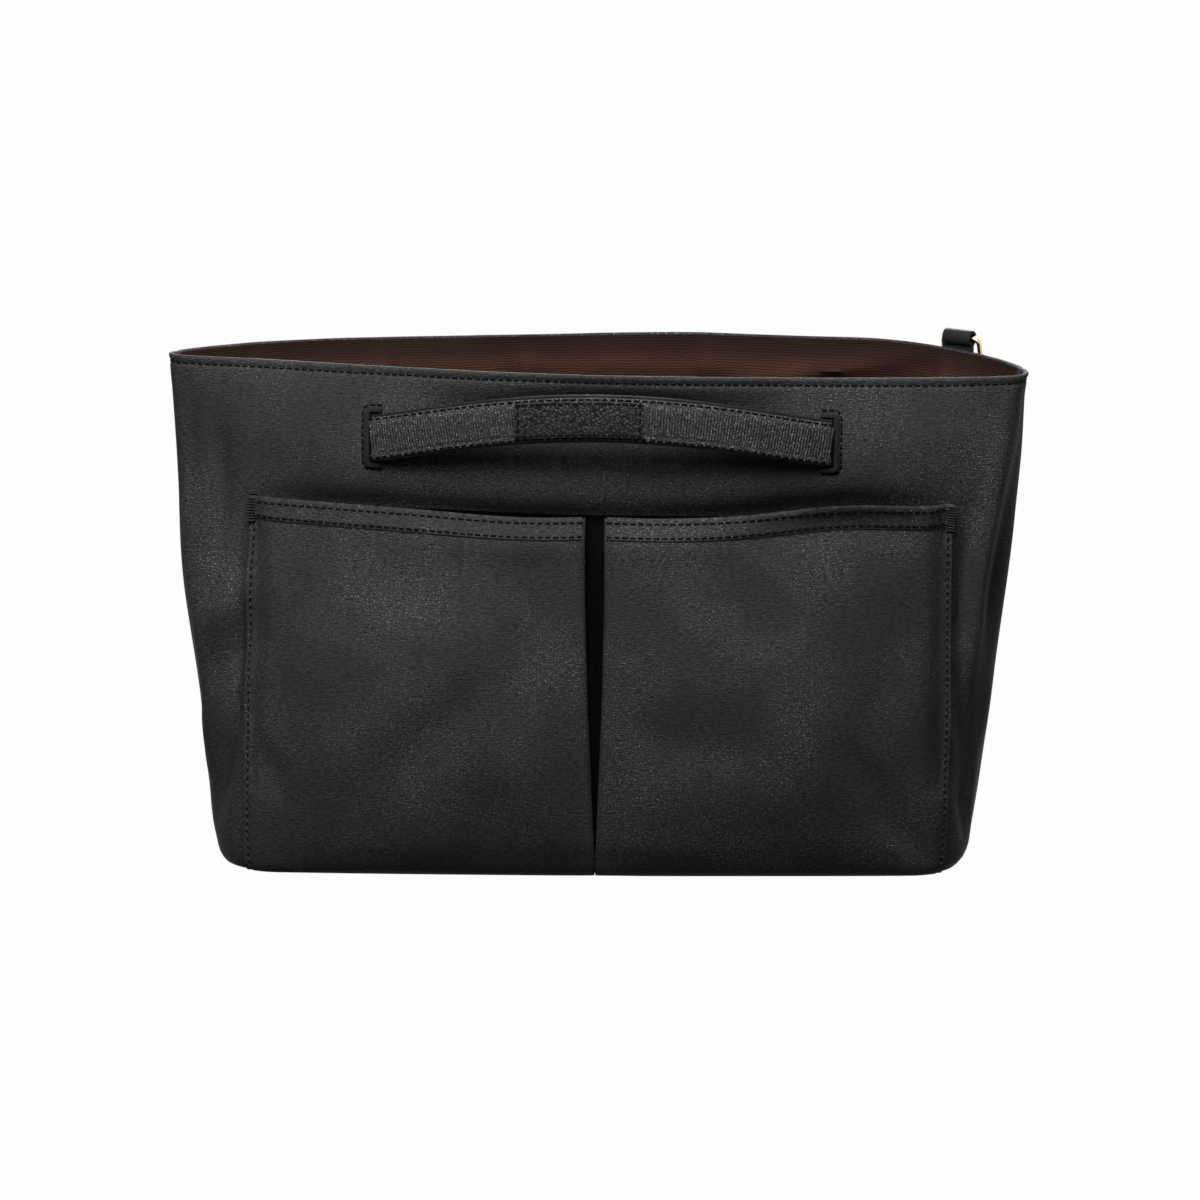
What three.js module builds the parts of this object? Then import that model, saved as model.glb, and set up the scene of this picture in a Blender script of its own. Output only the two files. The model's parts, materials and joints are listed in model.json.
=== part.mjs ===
// Purse organizer insert: a soft, open-topped liner for a handbag. Walls of coated canvas, stiffener
// and ribbed lining stand on a rounded base. It has two front pockets, a strap handle on each broad
// side and a wire D-ring in a tab. Millimetres: X to the right, Y to the back, Z up.
import * as THREE from "three";

// The mouth is a lens with two rounded corners that rests a little askew: its right corner is further
// forward. It is given anticlockwise from the middle of the front.
const mouthWidth = 348;
const mouthDepth = 91;
const mouthShares = [
  [0, -0.477], [0.129, -0.499], [0.259, -0.501], [0.374, -0.486], [0.448, -0.457], [0.487, -0.418],
  [0.498, -0.334], [0.49, -0.22], [0.471, -0.084], [0.447, 0.024], [0.419, 0.103], [0.374, 0.198],
  [0.316, 0.297], [0.221, 0.407], [0.115, 0.477], [0, 0.499], [-0.124, 0.473], [-0.23, 0.424],
  [-0.307, 0.38], [-0.397, 0.286], [-0.454, 0.171], [-0.486, 0.084], [-0.498, 0.011],
  [-0.487, -0.051], [-0.46, -0.079], [-0.379, -0.143], [-0.27, -0.264], [-0.124, -0.402],
];
const mouthSteps = 240;

// The base is a rounded rectangle. Its length follows from the mouth's edge, less the walls' flare.
const wallFlare = 12;
const baseDepth = 88;
const baseCornerRadius = 30;
const wallHeight = 206;

// How far the slack walls bow out half way up: on the broad sides, and at the side seams.
const broadBow = 3;
const broadBowReach = 150;
const sideBow = 2.6;
const sideBowReach = 38;

// Layers of the wall, from outside to inside, and the room that sewn neighbours keep.
const canvasThickness = 1.2;
const stiffenerThickness = 2;
const liningThickness = 0.8;
const boardThickness = 2.5;
const seamRoom = 0.3;
const baseSeamInset = 1.4;
const baseSeamHeight = 4;
const stiffenerDrop = 10;
const liningCloseEnd = 4.5;

// Facet lengths along the walls.
const wallPitch = 24;
const cornerPitch = 9;
const wallRows = 4;
const arcSegments = 8;
const tangentReach = 2.25;
const levelApart = 4;

// Front pockets: one on each side of an inverted pleat.
const pocketHalfWidth = 141.5;
const pocketDrop = 53.5;
const pocketCloth = 1;
const pocketSwell = 9.5;
const pocketBelly = 1.6;
const pleatStandShare = 0.62;
const pocketFullShare = 1.5;
const slackPower = 1.6;
const seamPower = 0.75;
const pleatGap = 8;
const pleatFold = 14;
const pleatSlopeShare = 0.87;
const pocketPitch = 20;
const hemHeight = 8.6;
const hemThickness = 0.8;

// Slip pockets on the lining.
const slipHalfWidth = 128;
const slipDrop = 20;
const slipFloor = 40;
const slipSwell = 8;

// Handle slots, their welts and the straps.
const slotHalfSpan = 92;
const slotDrop = 27.5;
const slotWidth = 4;
const slotHeight = 22;
const weltWidth = 2.6;
const weltThickness = 1;
const weltReach = 5;
const strapWidth = 19;
const strapThickness = 1.1;
const webbingWidth = 15.4;
const webbingThickness = 0.9;
const strapStandOff = 11.5;
const strapLift = 11;
const strapSeat = 1.4;
const strapTail = 24;
const handleHalfSpan = 50;
const strapSteps = 10;
const strapEndSteps = 4;
const handleGap = 0.4;
const webbingStart = 5;
const patchLength = 51;
const patchWidth = 14.6;
const patchThickness = 0.9;
const patchCentre = -7;
const windowRoom = 1;

// Ring tab on the back panel and its D-ring.
const tabFromSeam = 42;
const tabWidth = 12.4;
const tabThickness = 1.2;
const tabLoopRadius = 3.3;
const tabBoreRadius = 1.7;
const tabRise = 6;
const tabLeg = 18;
const ringWire = 2;
const ringInnerWidth = 14.4;
const ringInnerDepth = 12;
const ringCornerRadius = 2.4;
const ringTilt = 14;
const ringSteps = 32;
const ringSides = 8;

// Where each layer's faces lie, measured inward from the canvas's outer face.
const stiffenerInset = canvasThickness + seamRoom;
const liningInset = stiffenerInset + stiffenerThickness + seamRoom;
const liningFace = liningInset + liningThickness;
const liningCloseStart = stiffenerDrop - 2 * seamRoom;
const rimLiningInset = canvasThickness + seamRoom;
const rimFace = rimLiningInset + liningThickness;

// Levels of the stacked base.
const boardBottom = canvasThickness + seamRoom;
const boardTop = boardBottom + boardThickness;
const wallBottom = canvasThickness + seamRoom;
const liningFloor = boardTop + seamRoom;
const liningBottom = liningFloor + liningThickness + seamRoom;
const slotLevel = wallHeight - slotDrop;
const pocketTop = wallHeight - pocketDrop;

// The ring lies against the right end of its tab.
const ringShift = (ringInnerWidth - tabWidth) / 2 - seamRoom;

const finishes = {
  canvas: { color: 0x2a2b2d, roughness: 0.55, metalness: 0 },
  lining: { color: 0x3f2a23, roughness: 0.85, metalness: 0 },
  board: { color: 0x6f6a60, roughness: 0.9, metalness: 0 },
  stiffener: { color: 0xb9b4aa, roughness: 0.95, metalness: 0 },
  strap: { color: 0x1c1c1e, roughness: 0.45, metalness: 0 },
  webbing: { color: 0x303033, roughness: 0.7, metalness: 0 },
  leather: { color: 0x202022, roughness: 0.5, metalness: 0 },
  brass: { color: 0xd9c48a, roughness: 0.22, metalness: 1 },
};

function finish(name) {
  return new THREE.MeshStandardMaterial(finishes[name]);
}

function piece(name, geometry, finishName) {
  const mesh = new THREE.Mesh(geometry, finish(finishName));
  mesh.name = name;
  return mesh;
}

// The mouth seen from above: a smooth closed curve through its places.
function mouthOutline() {
  const places = mouthShares.map(([x, y]) => new THREE.Vector3(x * mouthWidth, y * mouthDepth, 0));
  const curve = new THREE.CatmullRomCurve3(places, true, "centripetal");
  const line = curve.getSpacedPoints(mouthSteps).map((at) => new THREE.Vector2(at.x, at.y));
  return new THREE.Path(line);
}

const mouth = mouthOutline();
const girth = mouth.getLength() - wallFlare;
const sideSeam = girth / 4;
const backCentre = girth / 2;
const baseLength = girth / 2 - baseDepth + (4 - Math.PI) * baseCornerRadius;

// A rounded rectangle about the origin, anticlockwise from the middle of its front side.
function roundedRectangle(path, length, depth, radius) {
  const x = length / 2 - radius;
  const y = depth / 2 - radius;
  const quarter = Math.PI / 2;
  path.moveTo(0, -depth / 2);
  path.lineTo(x, -depth / 2);
  path.absarc(x, -y, radius, -quarter, 0, false);
  path.lineTo(length / 2, y);
  path.absarc(x, y, radius, 0, quarter, false);
  path.lineTo(-x, depth / 2);
  path.absarc(-x, y, radius, quarter, 2 * quarter, false);
  path.lineTo(-length / 2, -y);
  path.absarc(-x, -y, radius, 2 * quarter, 3 * quarter, false);
  path.lineTo(0, -depth / 2);
  return path;
}

const base = roundedRectangle(new THREE.Path(), baseLength, baseDepth, baseCornerRadius);

// The canvas pulled straight from base to mouth: along is the distance round from the front's middle.
function straightWall(along, level) {
  const share = THREE.MathUtils.euclideanModulo(along / girth, 1);
  const low = base.getPoint(share);
  return low.lerp(mouth.getPoint(share), level / wallHeight);
}

// How far the canvas bows out from there.
function clothBow(along, level) {
  const fromFront = Math.abs(THREE.MathUtils.euclideanModulo(along + backCentre, girth) - backCentre);
  const fromBroad = Math.min(fromFront, backCentre - fromFront);
  const broad = Math.cos((Math.PI / 2) * Math.min(1, fromBroad / broadBowReach)) ** 2;
  const side = Math.exp(-(((fromBroad - sideSeam) / sideBowReach) ** 2));
  return (broadBow * broad + sideBow * side) * Math.sin((Math.PI * level) / wallHeight);
}

// The canvas's outer face at a distance round and a level, with its level tangent and outward normal.
function wallFrame(along, level) {
  const at = straightWall(along, level);
  const ahead = straightWall(along + tangentReach, level);
  const tangent = ahead.sub(straightWall(along - tangentReach, level)).normalize();
  const normal = new THREE.Vector3(tangent.y, -tangent.x, 0);
  return {
    origin: new THREE.Vector3(at.x, at.y, level).addScaledVector(normal, clothBow(along, level)),
    tangent: new THREE.Vector3(tangent.x, tangent.y, 0),
    normal,
  };
}

function wallPoint(along, level, inset) {
  const frame = wallFrame(along, level);
  return frame.origin.addScaledVector(frame.normal, -inset);
}

// Values from the first mark to the last, with every mark kept and no step over the pitch.
function stations(marks, pitch) {
  const values = [marks[0]];
  for (let i = 1; i < marks.length; i += 1) {
    const steps = Math.ceil((marks[i] - marks[i - 1]) / pitch(marks[i - 1], marks[i]));
    for (let k = 1; k <= steps; k += 1) {
      values.push(marks[i - 1] + ((marks[i] - marks[i - 1]) * k) / steps);
    }
  }
  return values;
}

function closedGeometry(points, triangles) {
  const geometry = new THREE.BufferGeometry();
  geometry.setAttribute("position", new THREE.Float32BufferAttribute(points.flatMap((p) => p.toArray()), 3));
  geometry.setIndex(triangles.flat());
  geometry.computeVertexNormals();
  return geometry;
}

// A sheet between two faces given on one grid. Cells that keep refuses are left out as openings.
function sheetGeometry(columns, rows, facePoint, backPoint, keep = () => true) {
  const points = [];
  const wide = columns.length;
  const layer = wide * rows.length;
  for (const place of [facePoint, backPoint]) {
    for (const row of rows) {
      for (const column of columns) points.push(place(column, row));
    }
  }
  const cell = (i, j) => i >= 0 && j >= 0 && i < wide - 1 && j < rows.length - 1 && keep(i, j);
  const triangles = [];
  const quad = (a, b, c, d) => triangles.push([a, b, c], [a, c, d]);
  for (let j = 0; j < rows.length - 1; j += 1) {
    for (let i = 0; i < wide - 1; i += 1) {
      if (!cell(i, j)) continue;
      const a = j * wide + i;
      const [b, c, d] = [a + 1, a + wide + 1, a + wide];
      quad(a, b, c, d);
      quad(layer + a, layer + d, layer + c, layer + b);
      if (!cell(i, j - 1)) quad(a, layer + a, layer + b, b);
      if (!cell(i + 1, j)) quad(b, layer + b, layer + c, c);
      if (!cell(i, j + 1)) quad(c, layer + c, layer + d, d);
      if (!cell(i - 1, j)) quad(d, layer + d, layer + a, a);
    }
  }
  return closedGeometry(points, triangles);
}

// A solid through rings of points, capped by the triangles of the ring's flat contour.
function loftGeometry(rings, contour) {
  const count = contour.length;
  const triangles = [];
  for (let r = 0; r < rings.length - 1; r += 1) {
    for (let i = 0; i < count; i += 1) {
      const next = (i + 1) % count;
      const [a, b] = [r * count + i, r * count + next];
      triangles.push([a, b, b + count], [a, b + count, a + count]);
    }
  }
  const last = (rings.length - 1) * count;
  const clockwise = THREE.ShapeUtils.isClockWise(contour);
  for (const [a, b, c] of THREE.ShapeUtils.triangulateShape(contour, [])) {
    const [second, third] = clockwise ? [c, b] : [b, c];
    triangles.push([a, third, second], [last + a, last + second, last + third]);
  }
  return closedGeometry(rings.flat(), triangles);
}

// Slots in the canvas, and the windows in the stiffener that take the strap tails behind it.
const slotEdges = [slotLevel - slotHeight / 2, slotLevel + slotHeight / 2];
const windowInner = slotHalfSpan - slotWidth / 2;
const windowOuter = slotHalfSpan + strapTail + windowRoom;

// Every layer has the same facets, which are shorter past the windows, where the wall turns the corner.
const cornerStart = windowOuter;

function pitchBetween(from, to, pitch) {
  return Math.abs(from + to) / 2 > cornerStart ? cornerPitch : pitch;
}

// Columns of a wall panel that is centred on one broad side and ends at the side seams.
function wallColumns(centre) {
  const half = [windowInner, windowInner + slotWidth, windowOuter, pocketHalfWidth, sideSeam - seamRoom / 2];
  const marks = [...half.map((value) => -value), ...half].sort((a, b) => a - b);
  return stations(marks, (from, to) => pitchBetween(from, to, wallPitch)).map((value) => centre + value);
}

// Rows of a layer: its own ends and marks, with the rows that all layers share between them.
const sharedLevels = stations([0, ...slotEdges, wallHeight], () => wallHeight / wallRows);

function wallLevels(bottom, top, marks) {
  const own = [bottom, ...marks, top];
  const shared = sharedLevels.filter((level) => own.every((mark) => Math.abs(level - mark) > levelApart));
  const inside = shared.filter((level) => between(level, bottom, top));
  return [...own, ...inside].sort((a, b) => a - b);
}

function between(value, low, high) {
  return value > low && value < high;
}

// Canvas bends in a little to its seam with the base.
function canvasInset(level) {
  const under = Math.max(0, 1 - level / baseSeamHeight);
  return baseSeamInset * under;
}

// Whether a cell of the wall lies in an opening on both sides of the panel's middle.
function inOpening(centre, columns, rows, i, j, inner, outer) {
  const across = Math.abs((columns[i] + columns[i + 1]) / 2 - centre);
  return between(across, inner, outer) && between((rows[j] + rows[j + 1]) / 2, ...slotEdges);
}

// The canvas turns over the top of the lining at the rim.
function canvasPanel(centre) {
  const columns = wallColumns(centre);
  const turn = wallHeight - canvasThickness;
  const rows = wallLevels(wallBottom, wallHeight, [baseSeamHeight, ...slotEdges, turn - seamRoom, turn]);
  const face = (along, level) => wallPoint(along, level, canvasInset(level));
  const back = (along, level) =>
    wallPoint(along, level, canvasInset(level) + (level < turn ? canvasThickness : rimFace));
  const keep = (i, j) => !inOpening(centre, columns, rows, i, j, windowInner, windowInner + slotWidth);
  return sheetGeometry(columns, rows, face, back, keep);
}

function stiffenerPanel(centre) {
  const columns = wallColumns(centre);
  const rows = wallLevels(boardTop + seamRoom, wallHeight - stiffenerDrop, slotEdges);
  const face = (along, level) => wallPoint(along, level, stiffenerInset);
  const back = (along, level) => wallPoint(along, level, stiffenerInset + stiffenerThickness);
  const keep = (i, j) => !inOpening(centre, columns, rows, i, j, windowInner, windowOuter);
  return sheetGeometry(columns, rows, face, back, keep);
}

// The lining closes in on the canvas above the stiffener.
function liningPanelInset(level) {
  const start = wallHeight - liningCloseStart;
  const end = wallHeight - liningCloseEnd;
  const share = THREE.MathUtils.clamp((level - start) / (end - start), 0, 1);
  return THREE.MathUtils.lerp(liningInset, rimLiningInset, share);
}

function liningPanel(centre) {
  const top = wallHeight - canvasThickness - 2 * seamRoom;
  const marks = [...slotEdges, wallHeight - liningCloseStart, wallHeight - liningCloseEnd];
  const rows = wallLevels(liningBottom, top, marks);
  const face = (along, level) => wallPoint(along, level, liningPanelInset(level));
  const back = (along, level) => wallPoint(along, level, liningPanelInset(level) + liningThickness);
  return sheetGeometry(wallColumns(centre), rows, face, back);
}

// A flat layer of the base, set in from the canvas's outer face. It has the walls' own facets.
function basePlate(inset, bottom, depth) {
  const round = [...wallColumns(0), ...wallColumns(backCentre)];
  const outline = round.map((along) => {
    const at = wallPoint(along, bottom, inset);
    return new THREE.Vector2(at.x, at.y);
  });
  const geometry = new THREE.ExtrudeGeometry(new THREE.Shape(outline), { depth, bevelEnabled: false });
  return geometry.translate(0, 0, bottom);
}

// How far a front pocket's inner face stands off the wall: room for the pleat, a mouth that hangs
// slack from the pleat to the sewn side, and a slight belly below it.
function pocketStandOff(share, level) {
  const rise = level / pocketTop;
  const layers = 2 * (pocketCloth + seamRoom) * Math.min(1, (1 - share) / pleatSlopeShare);
  const mouthSlack = (1 - share) ** seamPower * (pleatStandShare + pocketFullShare * share);
  const belly = pocketBelly * Math.sin(Math.PI * rise) * Math.sin(Math.PI * share);
  return seamRoom + layers + pocketSwell * rise ** slackPower * mouthSlack + belly;
}

// Half of the pleat's opening, which closes to a point at the base.
function pleatHalf(level) {
  return seamRoom / 2 + (pleatGap / 2 - seamRoom / 2) * (level / pocketTop);
}

// Columns of a front pocket, from the pleat's fold to the sewn side.
const pocketMarks = [pleatGap / 2, Math.min(cornerStart, pocketHalfWidth), pocketHalfWidth];
const pocketColumns = stations(pocketMarks, (from, to) => pitchBetween(from, to, pocketPitch));

function pocketShare(across, level) {
  const edge = pleatHalf(level);
  return Math.max(0, (across - edge) / (pocketHalfWidth - edge));
}

// The section of the right pocket's cloth: (distance from the centre, distance off the wall).
function pocketSection(level) {
  const edge = pleatHalf(level);
  const fold = edge + pleatFold;
  const layer = (n) => seamRoom + n * (pocketCloth + seamRoom);
  const standOff = (across) => pocketStandOff(pocketShare(across, level), level);
  const face = pocketColumns.slice(1).map((across) => [across, standOff(across)]);
  const start = pocketStandOff(0, level);
  const outside = [[edge, start], ...face].map(([across, off]) => [across, off + pocketCloth]);
  const inside = [[edge + pocketCloth, start], ...face].reverse();
  const pleat = [
    [edge + pocketCloth, layer(1) + pocketCloth],
    [fold, layer(1) + pocketCloth],
    [fold, layer(0)],
    [seamRoom / 2, layer(0)],
    [seamRoom / 2, layer(0) + pocketCloth],
    [fold - pocketCloth, layer(0) + pocketCloth],
    [fold - pocketCloth, layer(1)],
    [edge, layer(1)],
  ];
  return [...outside, ...inside, ...pleat];
}

function pocketGeometry(side) {
  const levels = wallLevels(wallBottom, pocketTop, [baseSeamHeight]);
  const rings = levels.map((level) => {
    const section = pocketSection(level);
    return section.map(([across, off]) => wallPoint(side * across, level, canvasInset(level) - off));
  });
  const contour = pocketSection(pocketTop).map(([across, off]) => new THREE.Vector2(across, off));
  return facingOut(loftGeometry(rings, contour));
}

// Turns a closed geometry's faces round if they point inwards.
function facingOut(geometry) {
  const place = geometry.getAttribute("position");
  const index = geometry.getIndex();
  const [a, b, c] = [new THREE.Vector3(), new THREE.Vector3(), new THREE.Vector3()];
  let volume = 0;
  for (let i = 0; i < index.count; i += 3) {
    a.fromBufferAttribute(place, index.getX(i));
    b.fromBufferAttribute(place, index.getX(i + 1));
    c.fromBufferAttribute(place, index.getX(i + 2));
    volume += a.dot(b.cross(c));
  }
  if (volume < 0) {
    const values = Array.from(index.array);
    for (let i = 0; i < values.length; i += 3) {
      [values[i + 1], values[i + 2]] = [values[i + 2], values[i + 1]];
    }
    geometry.setIndex(values);
    geometry.computeVertexNormals();
  }
  return geometry;
}

// The hem's band lies on the outside of the pocket's top edge.
function hemGeometry(side) {
  const place = (extra) => (across, level) => {
    const off = pocketStandOff(pocketShare(across, level), level) + pocketCloth + seamRoom + extra;
    return wallPoint(side * across, level, -off);
  };
  const rows = [pocketTop - hemHeight, pocketTop];
  return facingOut(sheetGeometry(pocketColumns, rows, place(hemThickness), place(0)));
}

function slipPocketGeometry(centre) {
  const inner = wallColumns(0).filter((value) => between(value, -slipHalfWidth, slipHalfWidth));
  const across = [-slipHalfWidth, ...inner, slipHalfWidth];
  const top = wallHeight - slipDrop;
  const rows = wallLevels(slipFloor, top, []);
  const place = (extra) => (value, level) => {
    const slack = slipSwell * ((level - slipFloor) / (top - slipFloor));
    const bulge = slack * Math.sin((Math.PI / 2) * (1 + value / slipHalfWidth)) ** 2;
    return wallPoint(centre + value, level, liningFace + seamRoom + bulge + extra);
  };
  return sheetGeometry(across, rows, place(0), place(liningThickness));
}

// A C-shaped welt round the slot, open on the side where the strap comes out.
function weltGeometry() {
  const inner = slotWidth / 2;
  const half = slotHeight / 2;
  const shape = new THREE.Shape();
  shape.moveTo(weltReach, half);
  shape.lineTo(weltReach, half + weltWidth);
  shape.absarc(-inner, half, weltWidth, Math.PI / 2, Math.PI, false);
  shape.absarc(-inner, -half, weltWidth, Math.PI, 1.5 * Math.PI, false);
  shape.lineTo(weltReach, -half - weltWidth);
  shape.lineTo(weltReach, -half);
  shape.lineTo(-inner, -half);
  shape.lineTo(-inner, half);
  return new THREE.ExtrudeGeometry(shape, {
    depth: weltThickness,
    bevelEnabled: false,
    curveSegments: arcSegments / 2,
  });
}

// The direction that leaves the leaning wall squarely.
function leaningNormal(along, level) {
  const frame = wallFrame(along, level);
  const lean = wallFrame(along, level + canvasThickness).origin.sub(frame.origin);
  return lean.cross(frame.tangent).negate().normalize();
}

// The welt's own X runs toward the middle of the handle, and its Z points out of the wall.
function welt(name, centre, side) {
  const along = centre + side * slotHalfSpan;
  const frame = wallFrame(along, slotLevel);
  const inward = frame.tangent.clone().multiplyScalar(-side);
  const normal = leaningNormal(along, slotLevel);
  const up = new THREE.Vector3().crossVectors(normal, inward);
  const mesh = piece(name, weltGeometry(), "strap");
  mesh.applyMatrix4(new THREE.Matrix4().makeBasis(inward, up, normal));
  mesh.position.copy(frame.origin).addScaledVector(normal, seamRoom);
  return mesh;
}

// A flat strap that stands on edge along a path, moved off the path by shift along its outward normal.
// Its two ends are cut square to the line between the slots, so that the swinging part passes its
// neighbours.
function ribbonGeometry(path, frame, width, thickness, shift) {
  const rings = path.map(({ point, up }, i) => {
    const before = path[Math.max(0, i - 1)].point;
    const after = path[Math.min(path.length - 1, i + 1)].point;
    const ahead = new THREE.Vector2(after.x - before.x, after.y - before.y).normalize();
    const normal = new THREE.Vector3(ahead.y, -ahead.x, 0);
    if (normal.dot(frame.outward) < 0) normal.negate();
    const corner = (out, high) => {
      const place = point.clone().addScaledVector(normal, shift + (out * thickness) / 2);
      const slip = point.clone().sub(place).dot(frame.axis);
      if (before === point || after === point) place.addScaledVector(frame.axis, slip);
      return place.addScaledVector(up, (high * width) / 2);
    };
    return [corner(-1, -1), corner(1, -1), corner(1, 1), corner(-1, 1)];
  });
  const contour = [[-1, -1], [1, -1], [1, 1], [-1, 1]].map(([x, y]) => new THREE.Vector2(x, y));
  return facingOut(loftGeometry(rings, contour));
}

// The wall's lean at a distance round, square to the line between the slots.
function leanAt(along, axis) {
  const foot = wallFrame(along, slotEdges[0]).origin;
  const lean = wallFrame(along, slotEdges[1]).origin.sub(foot);
  return lean.addScaledVector(axis, -lean.dot(axis)).normalize();
}

// The line between a handle's slots, which way is out, how the wall leans there, and the strap's bow.
function handleFrame(centre) {
  const right = centre === 0 ? 1 : -1;
  const slots = [-right, right].map((turn) => centre + turn * slotHalfSpan);
  const [start, end] = slots.map((along) => wallFrame(along, slotLevel).origin);
  const origin = start.clone().lerp(end, 1 / 2);
  const axis = end.clone().sub(start).normalize();
  const outward = new THREE.Vector3(axis.y, -axis.x, 0).multiplyScalar(right);
  const reach = wallFrame(centre, slotLevel).origin.sub(origin).dot(outward);
  const leans = slots.map((along) => leanAt(along, axis));
  const halfSpan = start.distanceTo(end) / 2;
  const lean = leanAt(centre, axis);
  return { centre, right, origin, axis, outward, halfSpan, lean, leans, bow: reach + strapStandOff };
}

// The strap's middle line at a distance from the middle: it bows out and lifts between its slots. Its
// swinging part has one lean, and each end turns from there to the wall's lean at its slot.
function strapPlace(frame, across) {
  const rise = 1 - (across / frame.halfSpan) ** 2;
  const point = frame.origin.clone().addScaledVector(frame.axis, across);
  point.addScaledVector(frame.outward, strapSeat + frame.bow * rise).setZ(slotLevel + strapLift * rise);
  const turn = Math.max(0, Math.abs(across) - handleHalfSpan) / (frame.halfSpan - handleHalfSpan);
  return { point, up: frame.lean.clone().lerp(frame.leans[across < 0 ? 0 : 1], turn).normalize() };
}

function strapRun(frame, from, to, steps) {
  return Array.from({ length: steps + 1 }, (_, i) => strapPlace(frame, from + ((to - from) * i) / steps));
}

// A strap end: its tail lies in the stiffener's window, and it comes out through the slot.
function strapEndPath(frame, side) {
  const turn = side * frame.right;
  const up = frame.leans[side < 0 ? 0 : 1];
  const place = (toCentre, inset) => {
    return { point: wallPoint(frame.centre + turn * (slotHalfSpan - toCentre), slotLevel, inset), up };
  };
  const depth = stiffenerInset + stiffenerThickness / 2;
  const reach = slotWidth / 2;
  const tail = [-strapTail, -strapTail / 2, -reach].map((toCentre) => place(toCentre, depth));
  const from = side * (frame.halfSpan - 2 * slotWidth);
  const run = strapRun(frame, from, side * handleHalfSpan, strapEndSteps);
  return [...tail, place(reach, -strapSeat), ...run];
}

const webbingShift = (strapThickness + webbingThickness) / 2 + seamRoom;
const patchShift = webbingShift + (webbingThickness + patchThickness) / 2 + seamRoom;

function strapEnds(group, frame, label) {
  for (const [side, word] of [[-1, "left"], [1, "right"]]) {
    const path = strapEndPath(frame, side);
    const strip = ribbonGeometry(path, frame, strapWidth, strapThickness, 0);
    group.add(piece(`${label}_handle_end_${word}`, strip, "strap"));
    const start = side * (frame.halfSpan - slotWidth - webbingStart);
    const run = strapRun(frame, start, side * handleHalfSpan, strapEndSteps);
    const webbing = ribbonGeometry(run, frame, webbingWidth, webbingThickness, webbingShift);
    group.add(piece(`${label}_webbing_end_${word}`, webbing, "webbing"));
    group.add(welt(`${label}_slot_welt_${word}`, frame.centre, side * frame.right));
  }
}

// The middle of the strap swings about the line between the slots.
function handle(label, centre) {
  const group = new THREE.Group();
  const frame = handleFrame(centre);
  strapEnds(group, frame, label);
  const half = handleHalfSpan - handleGap;
  const run = strapRun(frame, -half, half, strapSteps);
  const strip = ribbonGeometry(run, frame, strapWidth, strapThickness, 0);
  group.add(piece(`${label}_handle_strap`, strip, "strap"));
  const webbing = ribbonGeometry(run, frame, webbingWidth, webbingThickness, webbingShift);
  group.add(piece(`${label}_handle_webbing`, webbing, "webbing"));
  if (label === "front") {
    const start = patchCentre - patchLength / 2;
    const patchRun = strapRun(frame, start, start + patchLength, strapSteps / 2);
    const patch = ribbonGeometry(patchRun, frame, patchWidth, patchThickness, patchShift);
    group.add(piece("handle_patch", patch, "leather"));
  }
  return group;
}

// The tab's profile: a strip doubled into a leg on the panel and a loop above the rim.
function tabProfile() {
  const shape = new THREE.Shape();
  const neck = Math.asin(tabThickness / tabLoopRadius);
  const start = -Math.PI / 2 + neck;
  shape.moveTo(tabThickness, -tabLeg);
  shape.absarc(0, tabRise, tabLoopRadius, start, start - 2 * neck + 2 * Math.PI, false);
  shape.lineTo(-tabThickness, -tabLeg);
  const bore = new THREE.Path();
  bore.absarc(0, tabRise, tabBoreRadius, 0, 2 * Math.PI, true);
  shape.holes.push(bore);
  return shape;
}

// A D of wire in the XY plane: its bar lies on the X axis and its bow reaches along Y.
function ringGeometry() {
  const half = (ringInnerWidth + ringWire) / 2;
  const depth = ringInnerDepth + ringWire;
  const turn = ringCornerRadius;
  const quarter = Math.PI / 2;
  const path = new THREE.Path();
  path.moveTo(turn - half, 0);
  path.lineTo(half - turn, 0);
  path.absarc(half - turn, turn, turn, -quarter, 0, false);
  path.lineTo(half, depth - half);
  path.absarc(0, depth - half, half, 0, 2 * quarter, false);
  path.lineTo(-half, turn);
  path.absarc(turn - half, turn, turn, 2 * quarter, 3 * quarter, false);
  const points = [];
  const triangles = [];
  for (let k = 0; k < ringSteps; k += 1) {
    const at = path.getPoint(k / ringSteps);
    const before = path.getPoint(((k + ringSteps - 1) % ringSteps) / ringSteps);
    const ahead = path.getPoint(((k + 1) % ringSteps) / ringSteps).sub(before);
    const out = new THREE.Vector3(ahead.y, -ahead.x, 0).normalize();
    for (let i = 0; i < ringSides; i += 1) {
      const turned = (2 * Math.PI * i) / ringSides;
      const point = new THREE.Vector3(at.x, at.y, (Math.sin(turned) * ringWire) / 2);
      points.push(point.addScaledVector(out, (Math.cos(turned) * ringWire) / 2));
      const a = k * ringSides + i;
      const b = k * ringSides + ((i + 1) % ringSides);
      const count = ringSteps * ringSides;
      const [c, d] = [(b + ringSides) % count, (a + ringSides) % count];
      triangles.push([a, b, c], [a, c, d]);
    }
  }
  return facingOut(closedGeometry(points, triangles));
}

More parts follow.
